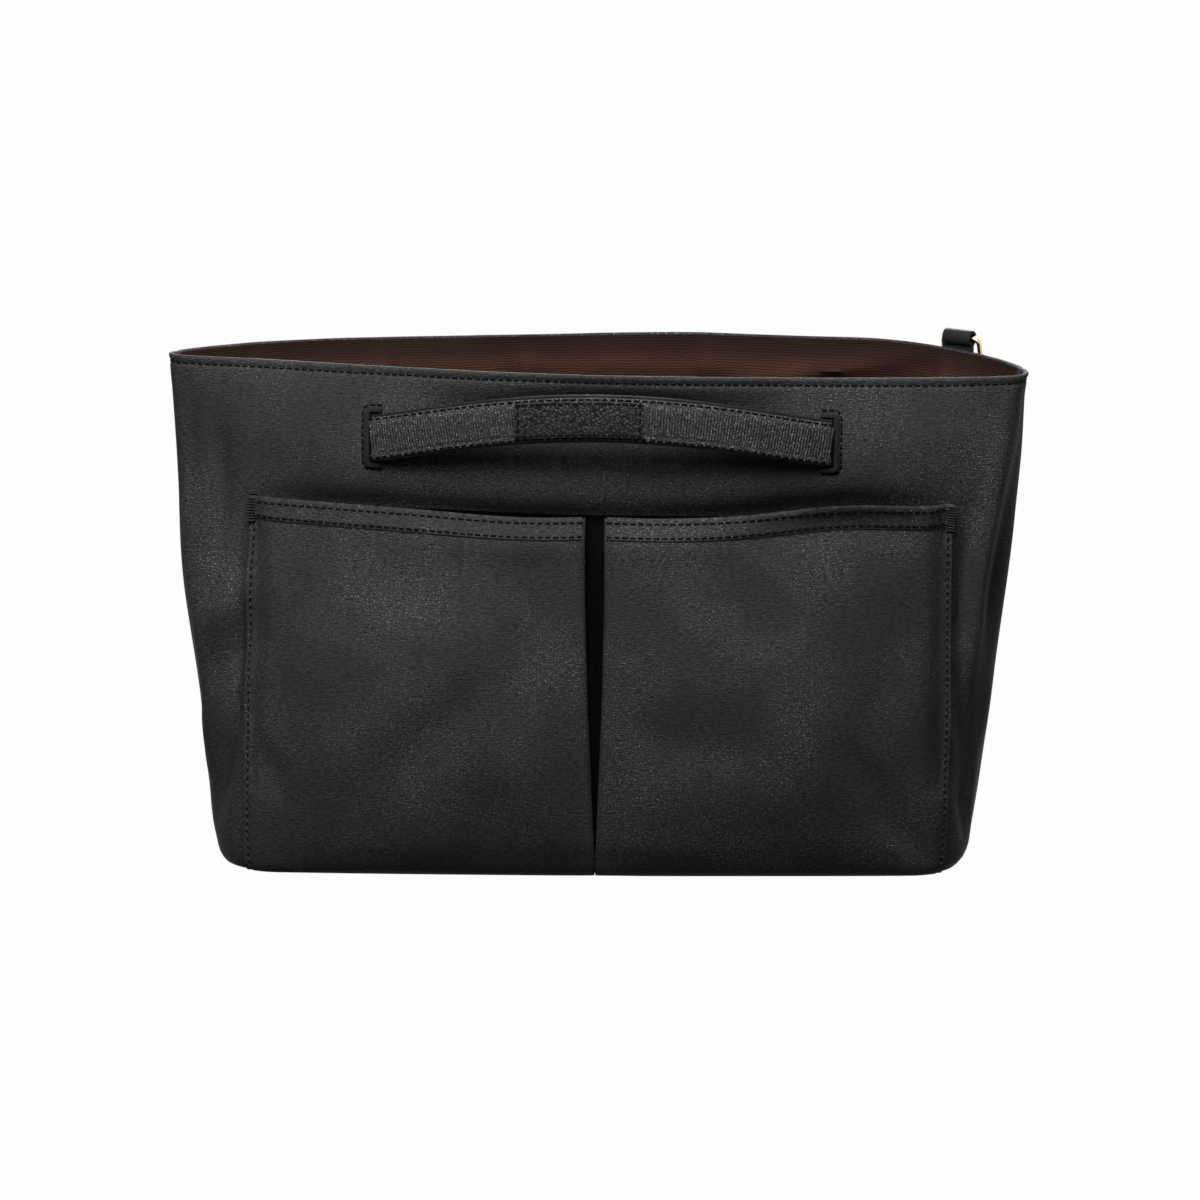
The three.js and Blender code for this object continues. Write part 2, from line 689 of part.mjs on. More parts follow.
function ringAndTab() {
  const group = new THREE.Group();
  const along = sideSeam + tabFromSeam;
  const frame = wallFrame(along, wallHeight);
  const axis = frame.tangent.clone().negate();
  const normal = leaningNormal(along, wallHeight - canvasThickness);
  const up = new THREE.Vector3().crossVectors(axis, normal);
  group.applyMatrix4(new THREE.Matrix4().makeBasis(normal, up, axis));
  group.position.copy(frame.origin).addScaledVector(normal, seamRoom + tabThickness);
  const profile = new THREE.ExtrudeGeometry(tabProfile(), {
    depth: tabWidth,
    bevelEnabled: false,
    curveSegments: arcSegments,
  });
  const tab = piece("ring_tab", profile, "strap");
  tab.position.z = -tabWidth / 2;
  const ring = piece("d_ring", ringGeometry(), "brass");
  ring.position.set(0, tabRise, ringShift);
  ring.rotation.set(0, -Math.PI / 2, Math.PI + THREE.MathUtils.degToRad(ringTilt), "ZYX");
  group.add(tab, ring);
  return group;
}

function walls() {
  const group = new THREE.Group();
  for (const [label, centre] of [["front", 0], ["back", backCentre]]) {
    group.add(piece(`outer_${label}_panel`, canvasPanel(centre), "canvas"));
    group.add(piece(`${label}_stiffener`, stiffenerPanel(centre), "stiffener"));
    group.add(piece(`${label}_lining`, liningPanel(centre), "lining"));
    group.add(piece(`${label}_slip_pocket`, slipPocketGeometry(centre), "lining"));
  }
  return group;
}

function baseLayers() {
  const group = new THREE.Group();
  group.add(piece("outer_base", basePlate(baseSeamInset, 0, canvasThickness), "canvas"));
  const boardInset = canvasThickness + baseSeamInset + seamRoom;
  group.add(piece("base_board", basePlate(boardInset, boardBottom, boardThickness), "board"));
  group.add(piece("base_lining", basePlate(liningInset, liningFloor, liningThickness), "lining"));
  return group;
}

function frontPockets() {
  const group = new THREE.Group();
  for (const [side, word] of [[-1, "left"], [1, "right"]]) {
    group.add(piece(`front_pocket_${word}`, pocketGeometry(side), "canvas"));
    group.add(piece(`front_pocket_hem_${word}`, hemGeometry(side), "canvas"));
  }
  return group;
}

const insert = new THREE.Group();
insert.add(baseLayers(), walls(), frontPockets());
insert.add(handle("front", 0), handle("back", backCentre), ringAndTab());

export default insert;
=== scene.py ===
import json
import math

import bmesh
import bpy
import numpy as np
from mathutils import Matrix, Vector


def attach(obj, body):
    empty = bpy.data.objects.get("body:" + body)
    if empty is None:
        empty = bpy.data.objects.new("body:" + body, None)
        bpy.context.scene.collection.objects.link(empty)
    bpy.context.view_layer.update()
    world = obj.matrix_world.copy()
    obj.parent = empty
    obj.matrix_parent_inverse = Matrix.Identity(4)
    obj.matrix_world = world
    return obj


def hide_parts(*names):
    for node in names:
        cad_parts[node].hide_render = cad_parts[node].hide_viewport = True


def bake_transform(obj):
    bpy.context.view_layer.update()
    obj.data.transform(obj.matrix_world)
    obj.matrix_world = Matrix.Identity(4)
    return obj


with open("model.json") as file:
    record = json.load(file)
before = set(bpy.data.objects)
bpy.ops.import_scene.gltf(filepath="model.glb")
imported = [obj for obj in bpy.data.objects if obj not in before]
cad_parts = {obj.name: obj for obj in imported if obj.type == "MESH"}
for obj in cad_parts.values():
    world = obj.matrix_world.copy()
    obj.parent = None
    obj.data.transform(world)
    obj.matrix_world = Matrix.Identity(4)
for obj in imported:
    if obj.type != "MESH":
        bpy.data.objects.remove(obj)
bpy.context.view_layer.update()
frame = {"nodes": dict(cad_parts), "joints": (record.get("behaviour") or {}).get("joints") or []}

mm = 0.001
print("frame loaded:", len(frame["nodes"]), "nodes")


# sRGB as a hex string, to linear.
def linearColour(hexColour):
    channels = [int(hexColour[i : i + 2], 16) / 255 for i in (1, 3, 5)]
    linear = [c / 12.92 if c <= 0.04045 else ((c + 0.055) / 1.055) ** 2.4 for c in channels]
    return (*linear, 1.0)


# Inputs go by socket name, with _ for a space, or by i and the socket's number.
def addNode(tree, kind, settings=(), **inputs):
    node = tree.nodes.new(kind)
    for name, value in dict(settings).items():
        setattr(node, name, value)
    for name, value in inputs.items():
        key = int(name[1:]) if name[0] == "i" and name[1:].isdigit() else name.replace("_", " ")
        if isinstance(value, bpy.types.NodeSocket):
            tree.links.new(value, node.inputs[key])
        else:
            node.inputs[key].default_value = value
    return node


def mathNode(tree, operation, first, second):
    return addNode(tree, "ShaderNodeMath", {"operation": operation}, i0=first, i1=second).outputs[0]


def unit(vectors):
    return vectors / np.linalg.norm(vectors, axis=-1, keepdims=True)


def clamp(values, low=0, high=1):
    return np.clip(values, low, high)


def bell(distance, reach):
    return np.exp(-((distance / reach) ** 2))


def lengthAlong(points):
    return np.concatenate([[0], np.cumsum(np.linalg.norm(np.diff(points, axis=0), axis=1))])


# Marks with even steps between them, none longer than the pitch.
def spread(marks, pitch):
    values = [marks[0]]
    for low, high in zip(marks[:-1], marks[1:]):
        steps = max(1, math.ceil((high - low) / pitch - 1e-9))
        values += [low + (high - low) * k / steps for k in range(1, steps + 1)]
    return np.array(values)


def linkObject(name, data):
    made = bpy.data.objects.new(name, data)
    bpy.context.scene.collection.objects.link(made)
    return made


def addPiece(name, points, faces, material, uv=None, sharp=40):
    mesh = bpy.data.meshes.new(name)
    mesh.from_pydata(np.asarray(points).reshape(-1, 3).tolist(), [], faces)
    if uv is not None:
        layer = mesh.uv_layers.new(name="cloth")
        corner = np.zeros(len(mesh.loops), dtype=np.int32)
        mesh.loops.foreach_get("vertex_index", corner)
        layer.data.foreach_set("uv", np.asarray(uv, dtype=np.float32).reshape(-1, 2)[corner].ravel())
    work = bmesh.new()
    work.from_mesh(mesh)
    bmesh.ops.recalc_face_normals(work, faces=work.faces)
    work.to_mesh(mesh)
    work.free()
    mesh.shade_smooth()
    mesh.set_sharp_from_angle(angle=math.radians(sharp))
    mesh.materials.append(material)
    piece = linkObject(name, mesh)
    return piece


def settle(piece, node, body="insert"):
    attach(piece, body)
    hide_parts(node)


def gridUv(across, up):
    return np.stack(np.broadcast_arrays(across[None, :], up[:, None]), axis=-1) * mm


# A closed sheet between two grids of points; cells that keep refuses are left open.
def sheetFaces(rows, columns, keep=None):
    layer = rows * columns
    cell = np.zeros((rows + 1, columns + 1), dtype=bool)
    cell[1:-1, 1:-1] = True if keep is None else keep
    faces = []
    for j in range(rows - 1):
        for i in range(columns - 1):
            if not cell[j + 1, i + 1]:
                continue
            a = j * columns + i
            b, c, d = a + 1, a + columns + 1, a + columns
            faces += [(a, b, c, d), (layer + a, layer + d, layer + c, layer + b)]
            beside = ((j, i + 1), (j + 1, i + 2), (j + 2, i + 1), (j + 1, i))
            for place, first, last in zip(beside, (a, b, c, d), (b, c, d, a)):
                if not cell[place]:
                    faces.append((first, layer + first, layer + last, last))
    return faces


# Rings of points joined one after the other, with closed ends, or round into the first.
def loftFaces(rings, around, closed=False):
    faces = []
    for r in range(rings if closed else rings - 1):
        here, following = r * around, (r + 1) % rings * around
        for i in range(around):
            k = (i + 1) % around
            faces.append((here + i, here + k, following + k, following + i))
    if not closed:
        last = (rings - 1) * around
        faces += [tuple(range(around)), tuple(last + i for i in reversed(range(around)))]
    return faces


# A box's outline with round corners, anticlockwise; quarter 0 is the corner right and up.
def roundedBox(width, height, radius, steps=4, first=0):
    places = []
    for quarter in range(first, first + 4):
        sx, sy = [(1, 1), (-1, 1), (-1, -1), (1, -1)][quarter % 4]
        for k in range(steps + 1):
            angle = math.pi / 2 * (quarter + k / steps)
            x = sx * (width / 2 - radius) + radius * math.cos(angle)
            places.append((x, sy * (height / 2 - radius) + radius * math.sin(angle)))
    return places


# The wall stands between a rim and a base outline. Lengths here and below are in mm, angles in degrees.
wall = {
    "height": 206,
    "rim": [  # (x, y) from the middle of the front, anticlockwise seen from above
        (0, -43.4), (45, -45.4), (90, -45.6), (130, -44.2), (156, -41.6), (169, -38.2), (172.6, -30.6),
        (170.6, -20), (164, -7.6), (155.4, 2.2), (145.8, 9.4), (130, 18), (110, 27), (77, 37), (40, 43.4),
        (0, 45.4), (-43, 43), (-80, 38.6), (-107, 34.6), (-138, 26), (-158, 15.6), (-169.6, 7.6),
        (-174.4, 1.0), (-170.5, -4.8), (-160.5, -7.2), (-132, -13), (-94, -24), (-43, -36.6),
    ],
    "rimSoftness": 3.2,
    "rimThickness": 2.2,
    "rimRow": 3.1,  # how far the stitches are below the rim
    "base": (304.9, 88),
    "baseRadius": 25,
    "baseEdge": (7.0, 0.75),  # radius at the foot, and how much of it the wall turns in
    "foot": 1.5,
    "feltFoot": 4.6,
    "feltTop": 10,  # how far the felt ends below the rim
    "liningEnds": (5.5, 0.9),  # the lining's level at the foot, and how far it ends below the rim
    "footRound": (170, 24, 6.5, 13),  # where round the base, how far, how deep and how high the corner is rounder
    "sideBow": (2.6, 38),  # how far out, and the reach along
    "broadBow": (3.0, 150),
    "footBow": (150, 4.5, 0.35, 160),  # height, how far out, its share at the sides, and the reach along
    "mouthDent": (5, 8, 7.0, 146),  # below the pocket's edge, reach, depth, and where it ends along
    "rimLifts": [(256, 40, 2.8), (336, 48, 1.6)],  # along, reach and height
    "liftFrom": 184,
    "unrest": (12, 16, 0.32),  # seed, number and height of the slow random waves
    "heldEdges": (14, 10),  # how far from base and rim the cloth is held in shape
    "seamGap": 0.12,
    "canvas": 1.2,
    "stiffener": 2.0,
    "lining": 0.8,
    "room": 0.3,
}


def smoothLoop(places, softness, count=2400):
    loop = np.array(list(places) + [places[0]], dtype=float)
    lengths = lengthAlong(loop)
    even = np.linspace(0, lengths[-1], count, endpoint=False)
    dense = np.stack([np.interp(even, lengths, loop[:, k]) for k in (0, 1)], axis=-1)
    if softness:
        step = lengths[-1] / count
        offsets = np.arange(-count // 2, count // 2) * step
        weight = np.exp(-0.5 * (offsets / softness) ** 2)
        weight /= weight.sum()
        kernel = np.fft.fft(np.fft.ifftshift(weight))
        dense = np.stack([np.fft.ifft(np.fft.fft(dense[:, k]) * kernel).real for k in (0, 1)], axis=-1)
    closed = np.concatenate([dense, dense[:1]])
    return closed, lengthAlong(closed)


def baseLoop():
    width, depth = wall["base"]
    return [(0, -depth / 2)] + roundedBox(width, depth, wall["baseRadius"], 24, -1)


rimLine, rimRun = smoothLoop(wall["rim"], wall["rimSoftness"])
baseLine, baseRun = smoothLoop(baseLoop(), 0)
girth = baseRun[-1]
sideSeam = girth / 4
backCentre = girth / 2
centres = {"front": 0, "back": backCentre}
wallTop, room = wall["height"], wall["room"]
print("girth of base and rim:", round(girth, 1), round(rimRun[-1], 1), "mm")


def alongLoop(line, run, along):
    at = np.mod(along / girth, 1.0) * run[-1]
    return np.stack([np.interp(at, run, line[:, k]) for k in (0, 1)], axis=-1)


# Soft folds: from (along, level) to (along, level), how wide and how deep. A ridge has a depth below 0.
wallFolds = [
    (-140, 124, -162, 92, 6, -2.4),
    (-143, 102, -160, 68, 7, 4.2),
    (-157, 180, -155, 116, 7, 3.6),
    (-171, 196, -168, 116, 5, 3.2),
    (-148, 112, -166, 44, 7, -2.2),
    (-146, 146, -146, 60, 3.4, 3.6),
    (-146, 70, -158, 22, 5, 3.4),
    (147, 84, 156, 30, 5, 3.0),
    (147, 152, 147, 60, 3.8, 4.0),
    (158, 110, 168, 60, 8, -2.0),
    (150, 40, 158, 12, 5, 2.4),
    (-62, 186, 62, 189, 10, 10.0),
    (166, 200, 145, 60, 5.5, -3.8),
    (173, 196, 161, 60, 7, 3.2),
    (-174, 196, -161, 40, 6, -2.2),
    (-188, 190, -180, 30, 8, 4.0),
]
# Where the cloth stands out in a soft swell: (along, level), reach along and up, and height.
wallSwells = [
    (-116, 180, 40, 20, 3.4),
    (126, 178, 42, 20, 3.6),
    (-158, 152, 16, 30, 0.3),
    (-180, 112, 14, 42, 2.8),
    (172, 36, 26, 42, -1.8),
    (160, 160, 14, 30, 1.0),
    (166, 84, 26, 60, -2.6),
]
seed, count, unrest = wall["unrest"]
unrestWaves = np.random.default_rng(seed).uniform(size=(count, 4))


def foldDepth(along, level, folds):
    total = np.zeros(np.broadcast(along, level).shape)
    for a0, l0, a1, l1, width, depth in folds:
        run = (a1 - a0) ** 2 + (l1 - l0) ** 2
        t = clamp(((along - a0) * (a1 - a0) + (level - l0) * (l1 - l0)) / run)
        gap = np.hypot(along - a0 - t * (a1 - a0), level - l0 - t * (l1 - l0))
        total += depth * np.sin(math.pi * (0.12 + 0.76 * t)) * bell(gap, width)
    return total


def swell(along, level, places):
    total = np.zeros(np.broadcast(along, level).shape)
    for a, l, reach, rise, height in places:
        total += height * np.exp(-(((along - a) / reach) ** 2) - ((level - l) / rise) ** 2)
    return total


# A row of stitches pulls the cloth into a shallow groove.
def groove(distance, depth=0.55, reach=1.1):
    return depth * bell(distance, reach)


pocket = {
    "halfWidth": 141.5,
    "drop": 53.5,
    "cloth": 1.0,
    "swell": (9.0, 1.6, 0.75, 0.62, 1.5),  # out at the top: how far, and how it grows up and across
    "belly": (9.0, 0.8, 0.7),  # out at half height, in the same way
    "sag": (2.6, 0.18, 0.3),  # depth of the edge's sag, and its place and reach as shares of the width
    "crest": (2.4, 0.68, 0.2),  # the same for the rise in the right pocket's edge
    "lift": {-1: -1.0, 1: 2.0},
    "pleatGap": 7.4,
    "pleatFold": 14,
    "hemCloth": 0.7,
    "rows": (1.7, 7.3),  # the hem's two rows of stitches, below the edge
    "tack": (0.4, 9.6),  # the bar tack's ends, below the edge
}
pocketTop = wallTop - pocket["drop"]


# How far the pockets' top edges sag below their level, or rise above it, at a share of their width.
def mouthDrop(side, share):
    right = np.asarray(side) > 0
    lift = np.where(right, pocket["lift"][1], pocket["lift"][-1])
    high, highAt, highReach = pocket["crest"]
    low, lowAt, lowReach = pocket["sag"]
    crest = high * right * bell(share - highAt, highReach)
    return low * bell(share - lowAt, lowReach) - crest - lift * share


# The wall draws in behind the pockets' mouths.
def mouthDent(nearFront, level):
    below, reach, dent, end = wall["mouthDent"]
    share = clamp(np.abs(nearFront) / pocket["halfWidth"])
    at = wallTop - pocket["drop"] - mouthDrop(np.sign(nearFront), share) - below
    return dent * bell(level - at, reach) * clamp(1 - (np.abs(nearFront) / end) ** 6)


def clothPush(along, level):
    share = level / wallTop
    turned = np.mod(along, girth)
    nearFront = np.where(turned > backCentre, turned - girth, turned)
    half = np.sin(math.pi * clamp(share))
    push = swell(nearFront, level, wallSwells) - foldDepth(nearFront, level, wallFolds)
    bow, reach = wall["sideBow"]
    for centre in (sideSeam, girth - sideSeam):
        push = push + bow * half * bell(turned - centre, reach)
    bow, reach = wall["broadBow"]
    away = [clamp(np.abs(place) / reach) for place in (nearFront, turned - backCentre)]
    push = push + bow * half * sum(np.cos(a * math.pi / 2) ** 2 for a in away)
    height, bow, atSide, reach = wall["footBow"]
    front = np.abs(nearFront)
    flat = 1 - clamp(np.minimum(front, backCentre - front) / reach) ** 3
    push = push + bow * np.sin(math.pi * clamp(level / height) ** 0.7) * (atSide + (1 - atSide) * flat)
    push = push - mouthDent(nearFront, level)
    for a, b, c, d in unrestWaves:
        waves = 1 + int(5 * a)
        wave = np.sin(2 * math.pi * (waves * turned / girth * 2 + share * (0.4 + 1.6 * b) + c))
        push = push + unrest * wave * d
    low, high = wall["heldEdges"]
    return push * clamp(level / low) * clamp((wallTop - level) / high) ** 0.5


# A place on the wall, in metres, by its distance round from the middle of the front, level, and how far outside.
def wallPlace(along, level, out=0.0):
    along, level, out = np.broadcast_arrays(*(np.asarray(value, float) for value in (along, level, out)))
    share = (level / wallTop)[..., None]
    turned = np.mod(along, girth)

    def outline(at):
        low = alongLoop(baseLine, baseRun, at)
        return low + (alongLoop(rimLine, rimRun, at) - low) * share

    reach = 2.0
    tangent = unit(outline(along + reach) - outline(along - reach))
    normal = np.stack([tangent[..., 1], -tangent[..., 0]], axis=-1)
    radius, much = wall["baseEdge"]
    edge = clamp(radius - level, 0, radius)
    turnIn = radius - np.sqrt(clamp(radius**2 - edge**2, 0, None))
    corner, width, deep, high = wall["footRound"]
    turnIn = turnIn + deep * bell(turned - corner, width) * clamp(1 - level / high) ** 2
    pull = groove(level - wallTop + wall["rimRow"]) * (out > -1)
    flat = outline(along) + normal * (clothPush(along, level) - much * turnIn - pull + out)[..., None]
    lift = sum(rise * bell(turned - at, reach) for at, reach, rise in wall["rimLifts"])
    lifted = level + lift * clamp((level - wall["liftFrom"]) / (wallTop - wall["liftFrom"]))
    return np.concatenate([flat, lifted[..., None]], axis=-1) * mm


def surfaceFrame(surface, along, level, out, reach=0.6):
    point = surface(along, level, out)
    across = surface(along + reach, level, out) - surface(along - reach, level, out)
    rise = surface(along, level + reach, out) - surface(along, level - reach, out)
    return point, unit(np.cross(across, rise))


def startMaterial(name, roughness=0.5, specular=0.5):
    material = bpy.data.materials.new(name)
    material.use_nodes = True
    tree = material.node_tree
    shader = tree.nodes["Principled BSDF"]
    shader.inputs["Roughness"].default_value = roughness
    shader.inputs["Specular IOR Level"].default_value = specular
    return material, tree, shader, addNode(tree, "ShaderNodeTexCoord").outputs["Object"]


def mixColour(tree, factor, first, second):
    node = addNode(tree, "ShaderNodeMix", {"data_type": "RGBA"}, Factor=factor)
    for socket, value in zip([s for s in node.inputs if s.type == "RGBA"], (first, second)):
        if isinstance(value, str):
            socket.default_value = linearColour(value)
        else:
            tree.links.new(value, socket)
    return next(s for s in node.outputs if s.type == "RGBA")


def stretched(tree, source, scale):
    return addNode(tree, "ShaderNodeMapping", Vector=source, Scale=scale).outputs["Vector"]


def clothUv(tree):
    return addNode(tree, "ShaderNodeUVMap", {"uv_map": "cloth"}).outputs["UV"]


# Bands across one direction of the cloth, with that period in metres.
def bands(tree, cloth, direction, period, distortion, detail, detailScale):
    scale = 2 * math.pi / (20 * period)
    node = addNode(tree, "ShaderNodeTexWave", {"bands_direction": direction}, Vector=cloth,
                   Scale=scale, Distortion=distortion, Detail=detail, Detail_Scale=detailScale)
    return node.outputs["Fac"]


def noise(tree, place, scale, detail, roughness=0.5):
    node = addNode(tree, "ShaderNodeTexNoise", Vector=place, Scale=scale, Detail=detail, Roughness=roughness)
    return node.outputs["Fac"]


def ranged(tree, value, low, high, toLow=0.0, toHigh=1.0):
    return addNode(tree, "ShaderNodeMapRange", i0=value, i1=low, i2=high, i3=toLow, i4=toHigh).outputs[0]


def cover(tree, shader, colour, height=None, strength=0.0, distance=0.0):
    tree.links.new(colour, shader.inputs["Base Color"])
    if height is not None:
        bump = addNode(tree, "ShaderNodeBump", Height=height, Strength=strength, Distance=distance)
        tree.links.new(bump.outputs["Normal"], shader.inputs["Normal"])


# Cotton canvas, plain woven and coated: a fine slubby weave, dull, with tiny glints on the threads painted into its
# colour at random specks as painted highlights.
canvasLook = {
    "dark": "#161616",
    "light": "#303130",
    "paintedGlint": "#828382",
    "thread": 0.00062,
    "slub": (420, 1500, 1),
    "speck": (1500, 1900, 1),
    "grain": 1300.0,
    "patches": 22.0,
    "roughness": 0.46,
    "paintedGlintRoughness": 0.36,
    "bump": 0.0003,
    "specular": 0.015,
}


def coatedCanvas():
    look = canvasLook
    material, tree, shader, place = startMaterial("coatedCottonCanvas", specular=look["specular"])
    cloth = clothUv(tree)
    weave = mathNode(tree, "MULTIPLY", *(bands(tree, cloth, way, look["thread"], 1.2, 1.0, 1.6) for way in "XY"))
    slub = noise(tree, stretched(tree, cloth, look["slub"]), 1.0, 3.0, 0.6)
    speck = noise(tree, stretched(tree, cloth, look["speck"]), 1.0, 2.0)
    grain = noise(tree, place, look["grain"], 2.0, 0.6)
    patchy = noise(tree, place, look["patches"], 4.0, 0.55)
    uneven = ranged(tree, patchy, 0.25, 0.8, 0.55, 1.15)
    tone = mathNode(tree, "MULTIPLY", ranged(tree, slub, 0.3, 0.72), uneven)
    base = mixColour(tree, tone, look["dark"], look["light"])
    uneven = ranged(tree, patchy, 0.42, 0.7, 0.1, 0.9)
    # Painted highlight: a pale colour mixed into the canvas at random specks, as glints.
    paintedGlint = mathNode(tree, "MULTIPLY", ranged(tree, speck, 0.6, 0.74), uneven)
    rough = ranged(tree, paintedGlint, 0.0, 0.6, look["roughness"], look["paintedGlintRoughness"])
    tree.links.new(rough, shader.inputs["Roughness"])
    threads = mathNode(tree, "ADD", mathNode(tree, "MULTIPLY", weave, 0.45), mathNode(tree, "MULTIPLY", slub, 0.5))
    height = mathNode(tree, "ADD", threads, mathNode(tree, "MULTIPLY", grain, 1.1))
    cover(tree, shader, mixColour(tree, paintedGlint, base, look["paintedGlint"]), height, 0.9, look["bump"])
    return material


# Polyester faille, woven with fine cross ribs: a soft sheen, brown, with plum in random patches, and a darker plum
# band near the rim that is painted shade under the rim.
liningLook = {
    "dark": "#100906",
    "light": "#37231a",
    "plumAndRimShade": "#160e0d",
    "rib": 0.00105,
    "thread": (900, 2600, 1),
    "patches": 26.0,
    "rimShadeLevel": (0.193, 0.2),
    "roughness": 0.72,
    "bump": 0.0003,
    "specular": 0.015,
}


def ribbedFaille():
    look = liningLook
    material, tree, shader, place = startMaterial("ribbedPolyesterFaille", look["roughness"], look["specular"])
    cloth = clothUv(tree)
    rib = bands(tree, cloth, "Y", look["rib"], 3.2, 3.0, 0.9)
    threads = noise(tree, stretched(tree, cloth, look["thread"]), 1.0, 2.0)
    tone = mathNode(tree, "ADD", mathNode(tree, "MULTIPLY", rib, 0.4), mathNode(tree, "MULTIPLY", threads, 0.8))
    base = mixColour(tree, ranged(tree, tone, 0.15, 0.9), look["dark"], look["light"])
    level = addNode(tree, "ShaderNodeSeparateXYZ", Vector=cloth).outputs["Y"]
    patchy = ranged(tree, noise(tree, place, look["patches"], 3.0), 0.42, 0.7, 0.0, 0.7)
    # Plum in random patches, and as painted shade in a band below the rim.
    turned = mathNode(tree, "MAXIMUM", patchy, ranged(tree, level, *look["rimShadeLevel"], 0.0, 0.85))
    cover(tree, shader, mixColour(tree, turned, base, look["plumAndRimShade"]), tone, 0.8, look["bump"])
    return material


# Leather embossed with a pebble grain and waxed: round pebbles about 1.1 mm across, with their valleys coloured
# darker as painted shade.
pebbleLook = {"dark": "#050506", "light": "#202021", "pebbles": 880.0, "waver": 0.0006, "surface": (0.4, 0.1)}


def pebbledLeather():
    look = pebbleLook
    material, tree, shader, place = startMaterial("pebbleGrainLeather", *look["surface"])
    warp = addNode(tree, "ShaderNodeTexNoise", Vector=place, Scale=500.0, Detail=2.0).outputs["Color"]
    moved = addNode(tree, "ShaderNodeVectorMath", {"operation": "MULTIPLY_ADD"},
                    i0=warp, i1=(look["waver"],) * 3, i2=place).outputs[0]
    cells = addNode(tree, "ShaderNodeTexVoronoi", {"feature": "SMOOTH_F1"},
                    Vector=moved, Scale=look["pebbles"], Smoothness=0.5)
    height = ranged(tree, cells.outputs["Distance"], 0.1, 0.75, 1.0, 0.0)
    # The valleys are coloured darker by their depth: painted shade.
    cover(tree, shader, mixColour(tree, height, look["dark"], look["light"]), height, 0.9, 0.00035)
    return material


# Brass wire, drawn, bent and plated pale gold: mirror bright with hair-fine drawing marks.
goldLook = {"dark": "#d6c288", "light": "#eadcae", "marks": 900.0, "roughness": (0.12, 0.24)}


def platedBrass():
    look = goldLook
    material, tree, shader, place = startMaterial("paleGoldPlatedBrass")
    marks = noise(tree, place, look["marks"], 3.0)
    cover(tree, shader, mixColour(tree, marks, look["dark"], look["light"]))
    tree.links.new(ranged(tree, marks, 0.3, 0.7, *look["roughness"]), shader.inputs["Roughness"])
    shader.inputs["Metallic"].default_value = 1.0
    return material


# Surfaces of one grain: a noise, of that scale, detail and roughness, mixes two shades over a range of its values
# and gives the relief, of that strength and depth. Patches are a slower noise that mixes the shades in its place.
grainLooks = {
    # The canvas's uncoated back, matt and woven, coloured near black as painted shade. It only shows deep in the
    # pleat and inside the pockets.
    "canvasBackPaintedShade": {"shades": ("#030303", "#080808"), "grain": (1200.0, 3.0), "surface": (0.95, 0.0)},
    # Split leather for straps with a smooth black coat, faintly creased.
    "coatedStrapLeather": {"shades": ("#0f0f10", "#1b1b1c"), "grain": (1400.0, 3.0), "patches": (60.0, 3.0),
                           "range": (0.3, 0.75), "relief": (0.35, 0.00012), "surface": (0.5, 0.03)},
    # Grosgrain polyester webbing, woven on a narrow loom: the ribs are geometry, their threads glitter finely with
    # painted glints, a pale colour mixed in as painted highlights.
    "grosgrainWebbing": {"shades": ("#121212", "#2b2b2b"), "grain": (1700.0, 2.0), "range": (0.3, 0.6),
                         "paintedGlint": ("#737372", 0.55, 0.8, 0.0, 0.75), "relief": (0.7, 0.0002), "surface": (0.5, 0.04)},
    # Bonded polyester thread, twisted: nearly black with a slight shine.
    "bondedPolyesterThread": {"shades": ("#020202", "#080808"), "grain": (2200.0, 1.0), "relief": (0.5, 0.0001),
                              "surface": (0.55, 0.03)},
    # The same thread coloured grey, as a painted highlight on the stitches.
    "polyesterThreadPaintedHighlight": {"shades": ("#0c0c0c", "#2c2c2d"), "grain": (2200.0, 1.0), "relief": (0.5, 0.0001),
                              "surface": (0.55, 0.03)},
    # Polyester fibres needled to a felt that stiffens the walls. It only shows if the cloth is cut.
    "needledFelt": {"shades": ("#938e84", "#c9c4ba"), "grain": (600.0, 6.0, 0.7), "relief": (0.6, 0.0004),
                    "surface": (0.95,)},
    # Fibre board, pressed from short fibres: brownish grey.
    "pressedFibreBoard": {"shades": ("#575046", "#857d70"), "grain": (350.0, 6.0, 0.65), "surface": (0.9,)},
}


def grainedMaterial(name):
    look = grainLooks[name]
    material, tree, shader, place = startMaterial(name, *look["surface"])
    grain = noise(tree, place, *look["grain"])
    tone = noise(tree, place, *look["patches"]) if "patches" in look else grain
    if "range" in look:
        tone = ranged(tree, tone, *look["range"])
    colour = mixColour(tree, tone, *look["shades"])
    # A glint is a painted highlight: a pale colour mixed in where the grain is high.
    if "paintedGlint" in look:
        shade, *reach = look["paintedGlint"]
        colour = mixColour(tree, ranged(tree, grain, *reach), colour, shade)
    relief = (grain, *look["relief"]) if "relief" in look else ()
    cover(tree, shader, colour, *relief)
    return material


canvas, faille, pebble, gold = coatedCanvas(), ribbedFaille(), pebbledLeather(), platedBrass()
# In the order of the table above.
paintedShadeCanvasBack, strapSkin, grosgrain, thread, paintedHighlightThread, felt, board = map(grainedMaterial, grainLooks)
print("materials made")


